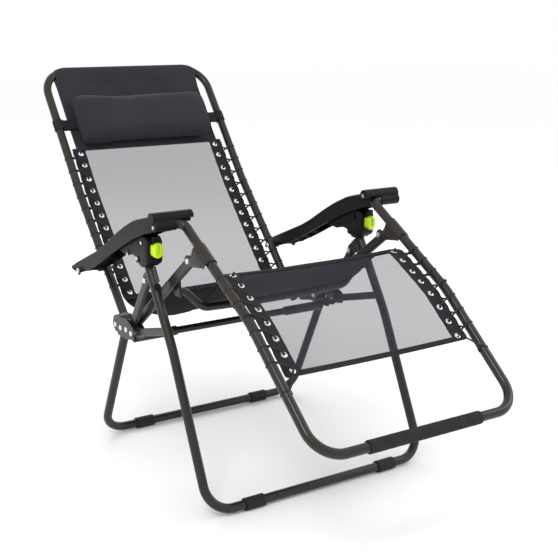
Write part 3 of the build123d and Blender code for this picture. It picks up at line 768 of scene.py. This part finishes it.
def border_stitches(name, s0, s1):
    """Two rows of stitches along each border, on both faces."""
    lift = BORDER_THICK / 2 + 0.15
    rows = [((side, offset), s0 + 3, s1 - 3) for side in (1, -1) for offset in STITCH_ROWS]
    made = []
    for face in (1, -1):
        def place(row, s, lift=face * lift):
            side, offset = row
            return sling_point(math.copysign(mesh_half(s) + offset, side), s, lift)

        made.append(stitches(name, place, rows))
    return joined(name, made)


def build_back():
    first, last = S_BACK_LOW - 14, S_SEAM + 4
    mesh = open_mesh("back_mesh", first, last, 44, 80)
    borders = laced_borders("back_border", first, last, back_eye_runs, BACK_EYE_X, 150)
    sewing = border_stitches("back_border_stitches", first, last)
    rings = eyelets("back_eyelets", back_eye_runs, BACK_EYE_X)
    dress([mesh], "back")
    dress(borders + [sewing], "back")
    dress([rings], "back")
    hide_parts("back_sling")
    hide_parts("back_grommets")


def build_leg():
    first, last = S_HEM, S_CREST + 8
    mesh = open_mesh("leg_mesh", first, last, 48, 64)
    borders = laced_borders("leg_border", first + 2, last, leg_eye_runs, LEG_EYE_X, 120)
    hem_half = (lambda s: half_width(s) - 3)
    hem = panel("leg_hem", hem_half, S_HEM - 2, S_HEM + 12, HEM_THICK, BORDER_CLOTH, 60, 6)
    sewing = border_stitches("leg_border_stitches", first + 12, last - 10)
    hem_rows = [(distance, -LEG_HALF + 6, LEG_HALF - 6) for distance in (S_HEM + 2.5, S_HEM + 10)]
    hem_lift = HEM_THICK / 2 + 0.15
    hem_sewing = stitches("leg_hem_stitches", lambda s, x: sling_point(x, s, hem_lift), hem_rows)
    rings = eyelets("leg_eyelets", leg_eye_runs, LEG_EYE_X)
    dress([mesh], "leg_rest")
    dress(borders + [hem, sewing, hem_sewing], "leg_rest")
    dress([rings], "leg_rest")
    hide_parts("leg_sling")
    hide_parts("leg_grommets")


def build_seat():
    """The solid cloth of the seat in two overlapping lengths, and its stitches."""
    front_ends = (S_CREST - 3, S_SPLIT + 16)
    rear_ends = (S_SPLIT, S_BACK_LOW + 6)
    rear_half = (lambda s: half_width(s) - 1)
    front = panel("seat_front", half_width, *front_ends, SEAT_THICK, SEAT_CLOTH, 60, 70, -0.4)
    rear = panel("seat_rear", rear_half, *rear_ends, SEAT_THICK, SEAT_CLOTH, 60, 50, -3.2)

    def place(row, s):
        return sling_point(math.copysign(half_width(s) - abs(row), row), s, 1.0)

    rows = [(side * offset, S_CREST, S_SPLIT + 14) for side in (1, -1) for offset in (4.0, 18.0)]
    seam = stitches("seat_stitches", place, rows)
    for part in (front, seam):
        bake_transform(part)
    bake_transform(rear)
    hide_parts("seat_sling")


# ---- head panel
HEAD_HALF = 222
HEAD_LOW = PANEL_SEAM - 3
HEAD_COLS = 64
POCKET_R = TUBE_R + 1.8
BACK_CORNER = 72                 # radius of the back tube's upper corners


def back_place(x, height, depth):
    """A place by the upper back: height up from its bend, and depth towards the sitter."""
    (wy, wz), _ = unit(BACK_BEND, BACK_TOP)
    return (x, BACK_BEND[0] + wy * height - wz * depth, BACK_BEND[1] + wz * height + wy * depth)


def tube_drop(x):
    """How far the top tube has curved down at x, at its corners."""
    over = max(0.0, abs(x) - (X_BACK - BACK_CORNER))
    return BACK_CORNER - math.sqrt(max(0.0, BACK_CORNER ** 2 - over ** 2))


def head_section(x):
    """The panel's section at x as (height, depth): up the rear, over the tube, and down the face."""
    low, top, lean = HEAD_LOW, high_span - tube_drop(x), -SET_BACK
    wave = 1.2 * math.sin(x / 37.0) + 0.8 * math.sin(x / 13.0)
    rear = [
        (low, lean - 2.0), (low + 60, lean - 3.5 - wave * 0.5),
        (top - 40, -POCKET_R * 0.8), (top - 12, -POCKET_R - 0.6),
    ]
    over = arc((top, 0), POCKET_R, -90, 90, 8)
    face = [
        (top - 14, POCKET_R - 0.8), (top - 30, POCKET_R * 0.45), (top - 52, 0.5),
        (low + 70, lean + 2.5 + wave), (low + 30, lean + 1.6 + wave), (low, lean + 1.2),
    ]
    return rear + over + face


def head_stitches():
    """Two rows up each side, two along the foot, and one under the tube."""
    low, top, face = HEAD_LOW, high_span, -SET_BACK

    def up_side(x, height):
        return back_place(x, height, face + 3.2 + ease(height, low + 60, top - 40) * 5.5)

    edges = (HEAD_HALF - 5, HEAD_HALF - 13)
    side_rows = [(side * edge, low + 6, top - 44) for side in (1, -1) for edge in edges]
    foot_rows = [(low + offset, -HEAD_HALF + 4, HEAD_HALF - 4) for offset in (3, 9)]
    sides = stitches("head_side_stitches", up_side, side_rows)
    foot = stitches("head_foot_stitches", lambda h, x: back_place(x, h, face + 2.6), foot_rows)
    casing = stitches("head_casing_stitches", lambda h, x: back_place(x, h, 4.6), [(top - 38, -176, 176)])
    return joined("head_stitches", [sides, foot, casing])


def build_head_panel():
    """A doubled panel that closes round the top tube in a pocket."""
    verts, uvs = [], []
    for index in range(HEAD_COLS + 1):
        x = -HEAD_HALF + 2 * HEAD_HALF * index / HEAD_COLS
        pinch = ease(abs(x), HEAD_HALF - 6, HEAD_HALF)
        loop = head_section(x)
        run = 0.0
        for k, (height, depth) in enumerate(loop):
            depth = depth * (1 - 0.12 * pinch) - pinch * 0.3
            if k:
                run += math.hypot(height - loop[k - 1][0], depth - loop[k - 1][1])
            verts.append(back_place(x, height, depth))
            uvs.append((x * MM, run * MM))
    cover = piece("head_cover", verts, ring_faces(HEAD_COLS + 1, len(loop)), PILLOW_CLOTH, uvs)
    tidy_normals(cover)
    smooth_by_angle(cover, 60)
    sewing = head_stitches()
    dress([cover, sewing], "back")
    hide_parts("head_panel")


# ---- pillow
PILLOW_HALF, PILLOW_LOW, PILLOW_HIGH, PILLOW_DEEP = 201, 131, 294, 60
PILLOW_MIDDLE = (PILLOW_LOW + PILLOW_HIGH) / 2
PILLOW_WAIST = 27                # depth of its seam line, from the back's plane
PILLOW_REAR = 23                 # how far its rear is below the seam line
PUFF_CELL, PUFF_FRAMES, PUFF_CAP = 5.5, 20, 7.0
PILLOW_SIDE = -7                 # it sits a little off the middle


def pillow_place(x, height, depth):
    return back_place(x + PILLOW_SIDE, height, depth - 3)


def pillow_section(swell, size):
    """A rounded D: flat against the back, full in front, as (height, depth)."""
    half = (PILLOW_HIGH - PILLOW_LOW) / 2 * swell
    points = []
    for step in range(size):
        angle = 2 * math.pi * step / size
        c, s = math.cos(angle), math.sin(angle)
        front = (PILLOW_DEEP - PILLOW_WAIST) * swell * abs(s) ** 0.8
        rear = -PILLOW_REAR * swell * abs(s) ** 0.45
        height = PILLOW_MIDDLE + half * math.copysign(abs(c) ** 0.72, c)
        points.append((height, PILLOW_WAIST + (front if s > 0 else rear)))
    return points


def build_pillow():
    size, count = 56, 70
    verts = []
    for index in range(count + 1):
        x = -PILLOW_HALF + 2 * PILLOW_HALF * index / count
        near_end = 1 - ease(PILLOW_HALF - abs(x), 0, 26)
        swell = 0.93 - 0.07 * near_end + 0.012 * math.sin(x / 34.0)
        verts += [pillow_place(x, height, depth) for height, depth in pillow_section(swell, size)]
    pillow = piece("pillow_body", verts, ring_faces(count + 1, size), PILLOW_CLOTH)
    tidy_normals(pillow)
    puff(pillow)
    refine(pillow)
    add_cloth_uvs(pillow)
    dress([pillow] + pillow_piping(pillow), "pillow")
    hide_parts("pillow")


def puff(made):
    """Inflate a closed form as cloth, and cap how far each point moves."""
    remesh = made.modifiers.new("even", "REMESH")
    remesh.mode = "VOXEL"
    remesh.voxel_size = PUFF_CELL * MM
    settle(made)
    start = np.array([v.co for v in made.data.vertices], float)
    cloth_sim = made.modifiers.new("cloth", "CLOTH")
    cloth_sim.settings.use_pressure = True
    cloth_sim.settings.uniform_pressure_force = 4
    cloth_sim.settings.effector_weights.gravity = 0
    cloth_sim.settings.tension_stiffness = 12
    cloth_sim.settings.bending_stiffness = 0.6
    scene = bpy.context.scene
    for number in range(1, PUFF_FRAMES + 1):
        scene.frame_set(number)
    settle(made)
    scene.frame_set(1)
    end = np.array([v.co for v in made.data.vertices], float)
    moved = end - start
    far = np.linalg.norm(moved, axis=1, keepdims=True)
    limit = PUFF_CAP * MM
    share = np.where(far > 1e-9, limit * np.tanh(far / limit) / np.maximum(far, 1e-9), 0)
    made.data.vertices.foreach_set("co", (start + moved * share).astype(np.float32).ravel())


def refine(made):
    """One subdivision, and smooth shading."""
    divide = made.modifiers.new("fine", "SUBSURF")
    divide.levels = 1
    divide.render_levels = 1
    settle(made)
    all_smooth(made.data)


def add_cloth_uvs(made):
    """Cloth directions on a form that was remeshed: across the chair, and round the section."""
    layer = made.data.uv_layers.new(name="cloth")
    (wy, wz), _ = unit(BACK_BEND, BACK_TOP)
    for loop in made.data.loops:
        co = made.data.vertices[loop.vertex_index].co
        layer.data[loop.index].uv = (co.x, co.y * wy + co.z * wz - (co.y * wz - co.z * wy) * 0.6)


def pillow_piping(pillow):
    """Corded seams round both ends, laid on the filled pillow's own surface."""
    made = []
    for word, sign in SIDES:
        loop = []
        for height, depth in pillow_section(1.0, 60):
            aim = Vector(pillow_place(sign * (PILLOW_HALF - 5), height, depth)) * MM
            _, place, _, _ = pillow.closest_point_on_mesh(aim)
            loop.append(tuple(place / MM))
        made.append(tube_mesh("pillow_piping_" + word, loop, 1.5, PILLOW_CLOTH, closed=True))
    return made


STRAP_WIDE, STRAP_THICK, STRAP_COLS = 30, 1.6, 8


def strap_route():
    """The strap's way as (x, depth): out behind the panel, round the tube, and back in front."""
    inward = [(X_BACK - TUBE_R - 10, 2.0), (PILLOW_HALF + 8, 3.0), (PILLOW_HALF - 20, 4.0)]
    rear = [(x, -depth - 1.2) for x, depth in reversed(inward)]
    front = [(x, depth - 1.0) for x, depth in inward]
    return rear + arc((X_BACK, 0), TUBE_R + 1.0, -160, 160, 24) + front


def build_straps():
    """Elastic loops from the pillow's ends round the back tubes."""
    route = strap_route()
    across = [STRAP_WIDE * (col / STRAP_COLS - 0.5) for col in range(STRAP_COLS + 1)]
    section = [(0, lift) for lift in across] + [(STRAP_THICK, lift) for lift in reversed(across)]
    for word, sign in SIDES:
        verts, uvs = [], []
        run = 0.0
        for index, (x, depth) in enumerate(route):
            (dx, dd), _ = unit(route[max(index - 1, 0)], route[min(index + 1, len(route) - 1)])
            if index:
                run += unit(route[index - 1], (x, depth))[1]
            for out, lift in section:
                verts.append(back_place(sign * (x + dd * out), PILLOW_MIDDLE + lift, depth - dx * out))
                uvs.append(((PILLOW_MIDDLE + lift) * MM, run * MM))
        strap = piece("pillow_strap_" + word, verts, ring_faces(len(route), len(section)), BORDER_CLOTH, uvs)
        tidy_normals(strap)
        smooth_by_angle(strap)
        dress([strap], "pillow")
        if word == "left":
            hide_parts("pillow_straps")


# ---- lacing
CORD_R = 2.3
LACE_OFF = TUBE_R + CORD_R - 3.4   # the elastic flattens where it goes round the tube
LACE_LIFT = 6.0
LACE_SHIFT = 20.0                  # each turn round the tube is half way to the next eyelet


def lace_points(a, b, tube_a, tube_b, eyes, x_eye, x_tube):
    """A spiral lacing: up through each eyelet, over the tube and back under it."""
    way, _ = unit(a, b)
    up = (-way[1], way[0])
    tube_way, _ = unit(tube_a, tube_b)
    points = []
    for place in spread(a, b, *eyes):
        run = (place[0] - tube_a[0]) * tube_way[0] + (place[1] - tube_a[1]) * tube_way[1]
        centre = along(tube_a, tube_b, run + LACE_SHIFT)
        for x, lift, base in (
            (x_eye, -LACE_LIFT, place), (x_eye, LACE_LIFT, place),
            (x_tube - 9, LACE_OFF, centre), (x_tube + LACE_OFF, LACE_OFF, centre),
            (x_tube + LACE_OFF, -LACE_OFF, centre), (x_tube - 9, -LACE_OFF, centre),
        ):
            points.append((x, base[0] + up[0] * lift, base[1] + up[1] * lift))
    return points


LEG_TIE = -50                      # from the last eyelet to the tie's turn, down the tube


def leg_tie():
    """The leg lacing's end: from the last eyelet to a turn round the tube further down."""
    way, _ = unit(FOOT_BAR, LEG_BEND)
    up = (-way[1], way[0])
    place = spread(hem_place, knee_place, *CALF_EYES)[0]
    run = (place[0] - FOOT_BAR[0]) * way[0] + (place[1] - FOOT_BAR[1]) * way[1]
    centre = along(FOOT_BAR, LEG_BEND, run + LEG_TIE)
    halfway = along(FOOT_BAR, LEG_BEND, run + LEG_TIE * 0.55)
    turn = [
        (-6, LACE_OFF), (LACE_OFF, LACE_OFF), (LACE_OFF, -LACE_OFF), (-LACE_OFF, -LACE_OFF),
        (-LACE_OFF - 1, 0),
    ]
    route = [(LEG_EYE_X, LACE_LIFT, place), ((LEG_EYE_X + X_LEG_REST) / 2 - 4, 9, halfway)]
    route += [(X_LEG_REST + dx, lift, centre) for dx, lift in turn]
    return [(x, base[0] + up[0] * lift, base[1] + up[1] * lift) for x, lift, base in route]


def knot(name, centre, way):
    """A small overhand knot: two turns of the cord round its own line."""
    rise = CORD_R * 0.19
    turns = [turned(centre, way, CORD_R * 1.2, (step - 8) * rise, step / 8) for step in range(17)]
    return tube_mesh(name, turns, CORD_R * 0.95, CORD)


def build_lacing():
    back = lace_points(back_low, back_mid, BACK_PIVOT, BACK_BEND, LOWER_EYES, BACK_EYE_X, X_BACK)
    back += lace_points(back_mid, back_high, BACK_BEND, BACK_TOP, UPPER_EYES, BACK_EYE_X, X_BACK)
    leg = lace_points(hem_place, knee_place, FOOT_BAR, LEG_BEND, CALF_EYES, LEG_EYE_X, X_LEG_REST)
    leg += lace_points(knee_place, crest_place, LEG_BEND, GRIP_PIVOT, KNEE_EYES, LEG_EYE_X, X_LEG_REST)
    for word, sign in SIDES:
        def mirrored(points):
            return [(sign * x, y, z) for x, y, z in points]

        for name, points, body in (("back", back, "back"), ("leg", leg, "leg_rest")):
            lace = tube_mesh(f"{name}_lace_{word}", mirrored(points[1:-4]), CORD_R, CORD)
            dress([lace], body)
            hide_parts(f"{name}_lacing_{word}")
        points = mirrored(leg_tie())
        tie = tube_mesh("leg_lace_tie_" + word, points, CORD_R * 0.9, CORD)
        end = knot("leg_lace_knot_" + word, points[-1], (0, 0.77, 0.64))
        dress([tie, end], "leg_rest")


# ---- armrests
ARM_IN, ARM_OUT, ARM_WALL = 280, 332, 3.0
ARM_ROWS = 60
ARM_TOP = [
    (-147, 636), (-128, 652), (-94, 650), (-30, 634), (26, 609), (74, 583), (130, 549), (180, 523),
    (250, 494), (300, 473), (336, 458), (351, 448),
]
ARM_LOW = [
    (-143, 629), (-126, 619), (-94, 611), (-38, 585), (62, 538), (172, 482), (238, 452), (286, 438),
    (325, 436), (348, 441),
]
ARM_RIBS = (((150, 504), 24), ((190, 484), 24), ((230, 466), 22), ((262, 456), 16))


def resample(points, count):
    """Places on a smooth line through the points, evenly spaced by index."""
    line = SideLine(points, 12)
    return [line.at(line.length * index / (count - 1)) for index in range(count)]


def arm_section(share, size):
    """The channel's section as (x, lift), at a share of its length and a height of size."""
    narrow = 3.5 * ease(share, 0.55, 1.0) + 2.0 * (1 - ease(share, 0.0, 0.08))
    x0, x1 = ARM_IN + narrow * 0.4, ARM_OUT - narrow
    crown = (ARM_OUT - ARM_IN) * 0.35
    edge = 6.0 * ease(share, 0.04, 0.25) * (1 - ease(share, 0.8, 0.96))
    shoulder = min(7.0, size * 0.4)
    bend = [
        (shoulder * (1 - math.cos(angle)), size - shoulder + (shoulder - 1.6) * math.sin(angle))
        for angle in (math.radians(18 * step) for step in range(1, 6))
    ]
    wall = [(-0.8, edge), (-0.9, edge + 3), (0, edge + 5), (0, size - shoulder - 1)] + bend
    wall.append((crown, size - 0.5))
    open_end = 0.02 <= share <= 0.985
    roof = max(size - 4.5, 1.0) if open_end else 0.8
    lining = [(ARM_WALL, edge), (ARM_WALL, roof * 0.9), (ARM_WALL + 3, roof)]
    middle = (x0 + x1) / 2
    outside = [(x0 + dx, lift) for dx, lift in wall] + [(middle, size)]
    outside += [(x1 - dx, lift) for dx, lift in reversed(wall)]
    inside = [(x1 - dx, lift) for dx, lift in lining] + [(middle, roof)]
    return outside + inside + [(x0 + dx, lift) for dx, lift in reversed(lining)]


def build_arm(word, sign):
    """An inverted channel: crowned top, rounded shoulders, thin walls with a rolled lip."""
    verts = []
    for index, (top, low) in enumerate(zip(resample(ARM_TOP, ARM_ROWS), resample(ARM_LOW, ARM_ROWS))):
        up, size = unit(low, top)
        section = arm_section(index / (ARM_ROWS - 1), size)
        verts += [(sign * x, low[0] + up[0] * lift, low[1] + up[1] * lift) for x, lift in section]
    shell = piece("arm_shell_" + word, verts, ring_faces(ARM_ROWS, len(section)), BLACK_PLASTIC)
    tidy_normals(shell)
    smooth_by_angle(shell, 35)
    ribs = []
    for (y, z), tall in ARM_RIBS:
        outline = [(y - 1, z - 6), (y + 1, z - 6), (y + 9, z + tall), (y + 7, z + tall)]
        ribs.append(extruded("rib", outline, sign * (ARM_IN + 2.5), sign * (ARM_OUT - 4), BLACK_PLASTIC, 0))
    rib_set = joined("arm_ribs_" + word, ribs)
    tidy_normals(rib_set)
    dress([shell, rib_set], "arm_" + word)
    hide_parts("armrest_" + word)


def build_foot_grip():
    """A foam sleeve with soft ends."""
    half, radius, inner = 150, 14.4, 11.3
    end = [(radius, half - 2.5), (radius - 0.6, half - 0.6), (radius - 2.2, half + 0.4), (inner, half)]
    profile = [(r, -height) for r, height in reversed(end)]
    profile += [(radius + 0.12 * math.sin(k * 1.7), (half - 2.5) * (k / 20 - 1)) for k in range(1, 40)]
    profile += end
    foam = lathe("foot_foam", profile, (0, *FOOT_BAR), (1, 0, 0), FOAM, 40)
    dress([foam], "leg_rest")
    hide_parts("foot_grip")


# ---- lock heads and gussets
HEAD_IN, HEAD_OUT = 286, 326
LOCK_BLOCK = [(-91, 545), (-91, 592), (-80, 600), (-58, 603), (-52, 560), (-52, 532), (-72, 531), (-86, 538)]
LOCK_LATCH = [(-100, 604), (-92, 604), (-92, 560), (-100, 556)]
LOCK_BOSSES = ((-38, 541, 8.5), (-62, 584, 7.5), (12, 551, 6.0))
BOSS_TALL = 2.5


def lock_outline():
    """The head's side view: a wing under the arm, a hollow lower edge, and a rounded front."""
    hollow = arc((-8, 488), 58, 62, 118, 10)
    front = [(-40, 533), (-47, 527), (-60, 526), (-72, 530), (-84, 540), (-89, 552), (-90, 588), (-86, 596)]
    return [(66, 546), (44, 541)] + hollow + front + [(-72, 601), (-40, 606), (-14, 596), (40, 567)]


def build_lock(word, sign):
    """The moulded lock head: a hollowed wing, a block with its latch, and bosses for its screws."""
    pieces = [
        extruded("lock_" + name, outline, sign * x0, sign * x1, BLACK_PLASTIC, bevel)
        for name, outline, x0, x1, bevel in (
            ("body", lock_outline(), HEAD_IN + 1.5, HEAD_OUT - 1.5, 2.2),
            ("block", LOCK_BLOCK, HEAD_IN, HEAD_OUT, 4),
            ("latch", LOCK_LATCH, HEAD_IN + 10, HEAD_OUT - 10, 1.5),
        )
    ]
    for y, z, radius in LOCK_BOSSES:
        top = BOSS_TALL - 0.8
        profile = [(0.5, 0), (radius, 0), (radius, top), (radius - 0.8, BOSS_TALL), (0.5, BOSS_TALL)]
        for x, way in ((HEAD_OUT - BOSS_TALL, 1), (HEAD_IN + BOSS_TALL, -1)):
            pieces.append(lathe("boss", profile, (sign * x, y, z), (sign * way, 0, 0), BLACK_PLASTIC, 24))
    lock = joined("lock_shell_" + word, pieces)
    dress([lock], "base")
    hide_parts("lock_housing_" + word)


def by_leg_tube(t, lift, x):
    """A place by the leg rest's upper tube: t down it, lift off it, and x across the chair."""
    (wy, wz), _ = unit(GRIP_PIVOT, LEG_BEND)
    return (x, GRIP_PIVOT[0] + wy * t + wz * lift, GRIP_PIVOT[1] + wz * t - wy * lift)


GUSSET_IN, GUSSET_OUT = 253.5, 285.3
GUSSET_T0, GUSSET_T1 = 84, 142   # from the grip's pivot down the tube
GUSSET_THICK = 2.4
GUSSET_EYE = 13.5                # radius round the rail's bolt
GUSSET_ROWS = 11


def saddle_line(surface, edge):
    """One skin of the saddle as (x, lift), at a distance from the tube's axis."""
    over = [(X_LEG_REST + dx, lift) for dx, lift in arc((0, 0), surface, 180, 30, 12)]
    return [(X_LEG_REST - surface, -10)] + over + [(edge - 0.8, 1.5), (edge, -2.5), (edge, -10)]


def build_saddle(sign):
    wrap = TUBE_R + 0.3
    outside = saddle_line(wrap + GUSSET_THICK, GUSSET_OUT)
    section = outside + saddle_line(wrap, GUSSET_OUT - GUSSET_THICK)[::-1]
    size = len(section)
    step = (GUSSET_T1 - GUSSET_T0) / (GUSSET_ROWS - 1)
    verts = [
        by_leg_tube(GUSSET_T0 + step * row, lift, sign * x)
        for row in range(GUSSET_ROWS)
        for x, lift in section
    ]
    faces = ring_faces(GUSSET_ROWS, size, caps=False)
    for base in (0, (GUSSET_ROWS - 1) * size):
        for k in range(len(outside) - 1):
            faces.append((base + k, base + k + 1, base + size - 2 - k, base + size - 1 - k))
    saddle = piece("saddle", verts, faces, TUBE_PAINT)
    tidy_normals(saddle)
    smooth_by_angle(saddle, 40)
    return saddle


def build_gusset(word, sign):
    """A pressed plate: it wraps the tube like a saddle, and both cheeks run down to the rail's bolt."""
    ends = [by_leg_tube(t, -8, 0)[1:] for t in (GUSSET_T0, GUSSET_T1)]
    outline = ends + arc(RAIL_PIVOT, GUSSET_EYE, -75, 145, 12)
    cheeks = [
        extruded("cheek", outline, sign * x, sign * (x + GUSSET_THICK), TUBE_PAINT, 0.7)
        for x in (GUSSET_OUT - GUSSET_THICK, GUSSET_IN)
    ]
    plate = joined("gusset_plate_" + word, [build_saddle(sign)] + cheeks)
    dress([plate], "leg_rest")
    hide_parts("gusset_" + word)


build_back()
build_leg()
build_seat()
build_head_panel()
build_pillow()
build_straps()
build_lacing()
for word, sign in SIDES:
    build_arm(word, sign)
    build_lock(word, sign)
    build_gusset(word, sign)
build_foot_grip()


# ---- camera, floor and light
CAMERA_PLACE = (-1.3772, -2.2215, 1.1087)
CAMERA_YAW, CAMERA_PITCH, CAMERA_ROLL = 33.49, 14.31, 0.37
CAMERA_LENS, CAMERA_SENSOR = 68.85, 36
FLOOR_HALF, FLOOR_Z = 14000, -0.4


def place_camera():
    """The camera's own place, turn, tilt and roll."""
    lens = bpy.data.cameras.new("camera")
    lens.sensor_width = CAMERA_SENSOR
    lens.lens = CAMERA_LENS
    lens.clip_start, lens.clip_end = 0.05, 100
    camera = bpy.data.objects.new("camera", lens)
    turns = ((-CAMERA_YAW, "Z"), (90 - CAMERA_PITCH, "X"), (CAMERA_ROLL, "Z"))
    place = Matrix.Translation(CAMERA_PLACE)
    for angle, axis in turns:
        place = place @ Matrix.Rotation(math.radians(angle), 4, axis)
    camera.matrix_world = place
    bpy.context.scene.collection.objects.link(camera)
    bpy.context.scene.camera = camera


def soft_light(name, place, aim, size, power):
    light = bpy.data.lights.new(name, "AREA")
    light.shape = "RECTANGLE"
    light.size, light.size_y = size
    light.energy = power
    holder = bpy.data.objects.new(name, light)
    holder.location = place
    holder.rotation_euler = (Vector(aim) - Vector(place)).to_track_quat("-Z", "Y").to_euler()
    bpy.context.scene.collection.objects.link(holder)


def build_floor():
    paint = Paint("floor", (0.98, 0.98, 0.98), 0.8, Specular_IOR_Level=0.05)
    paint.tint(paint.noise(3, 2), 0.99, 1.0)
    corners = ((-1, -1), (1, -1), (1, 1), (-1, 1))
    verts = [(x * FLOOR_HALF, y * FLOOR_HALF, FLOOR_Z) for x, y in corners]
    piece("floor", verts, [(0, 1, 2, 3)], paint.material)


def build_sky():
    """A cool white room, seen by the camera as plain white."""
    world = bpy.data.worlds.new("studio")
    world.use_nodes = True
    bpy.context.scene.world = world
    nodes, links = world.node_tree.nodes, world.node_tree.links
    sky = nodes["Background"]
    sky.inputs["Color"].default_value = (0.98, 0.985, 1.0, 1)
    sky.inputs["Strength"].default_value = 1.03
    seen = nodes.new("ShaderNodeBackground")
    seen.inputs["Color"].default_value = (1, 1, 1, 1)
    seen.inputs["Strength"].default_value = 1.0
    ray = nodes.new("ShaderNodeLightPath")
    mix = nodes.new("ShaderNodeMixShader")
    links.new(ray.outputs["Is Camera Ray"], mix.inputs["Fac"])
    links.new(sky.outputs["Background"], mix.inputs[1])
    links.new(seen.outputs["Background"], mix.inputs[2])
    links.new(mix.outputs["Shader"], nodes["World Output"].inputs["Surface"])


def build_stage():
    build_floor()
    build_sky()
    soft_light("key", (-1.9, -1.6, 3.0), (0, 0, 0.4), (0.9, 0.9), 34)
    soft_light("fill", (2.6, -1.4, 2.2), (0, 0, 0.4), (0.7, 2.0), 16)
    soft_light("rim", (0.6, 2.8, 2.6), (0, 0, 0.5), (2.0, 0.5), 18)
    bpy.context.scene.view_settings.view_transform = "Standard"


place_camera()
build_stage()
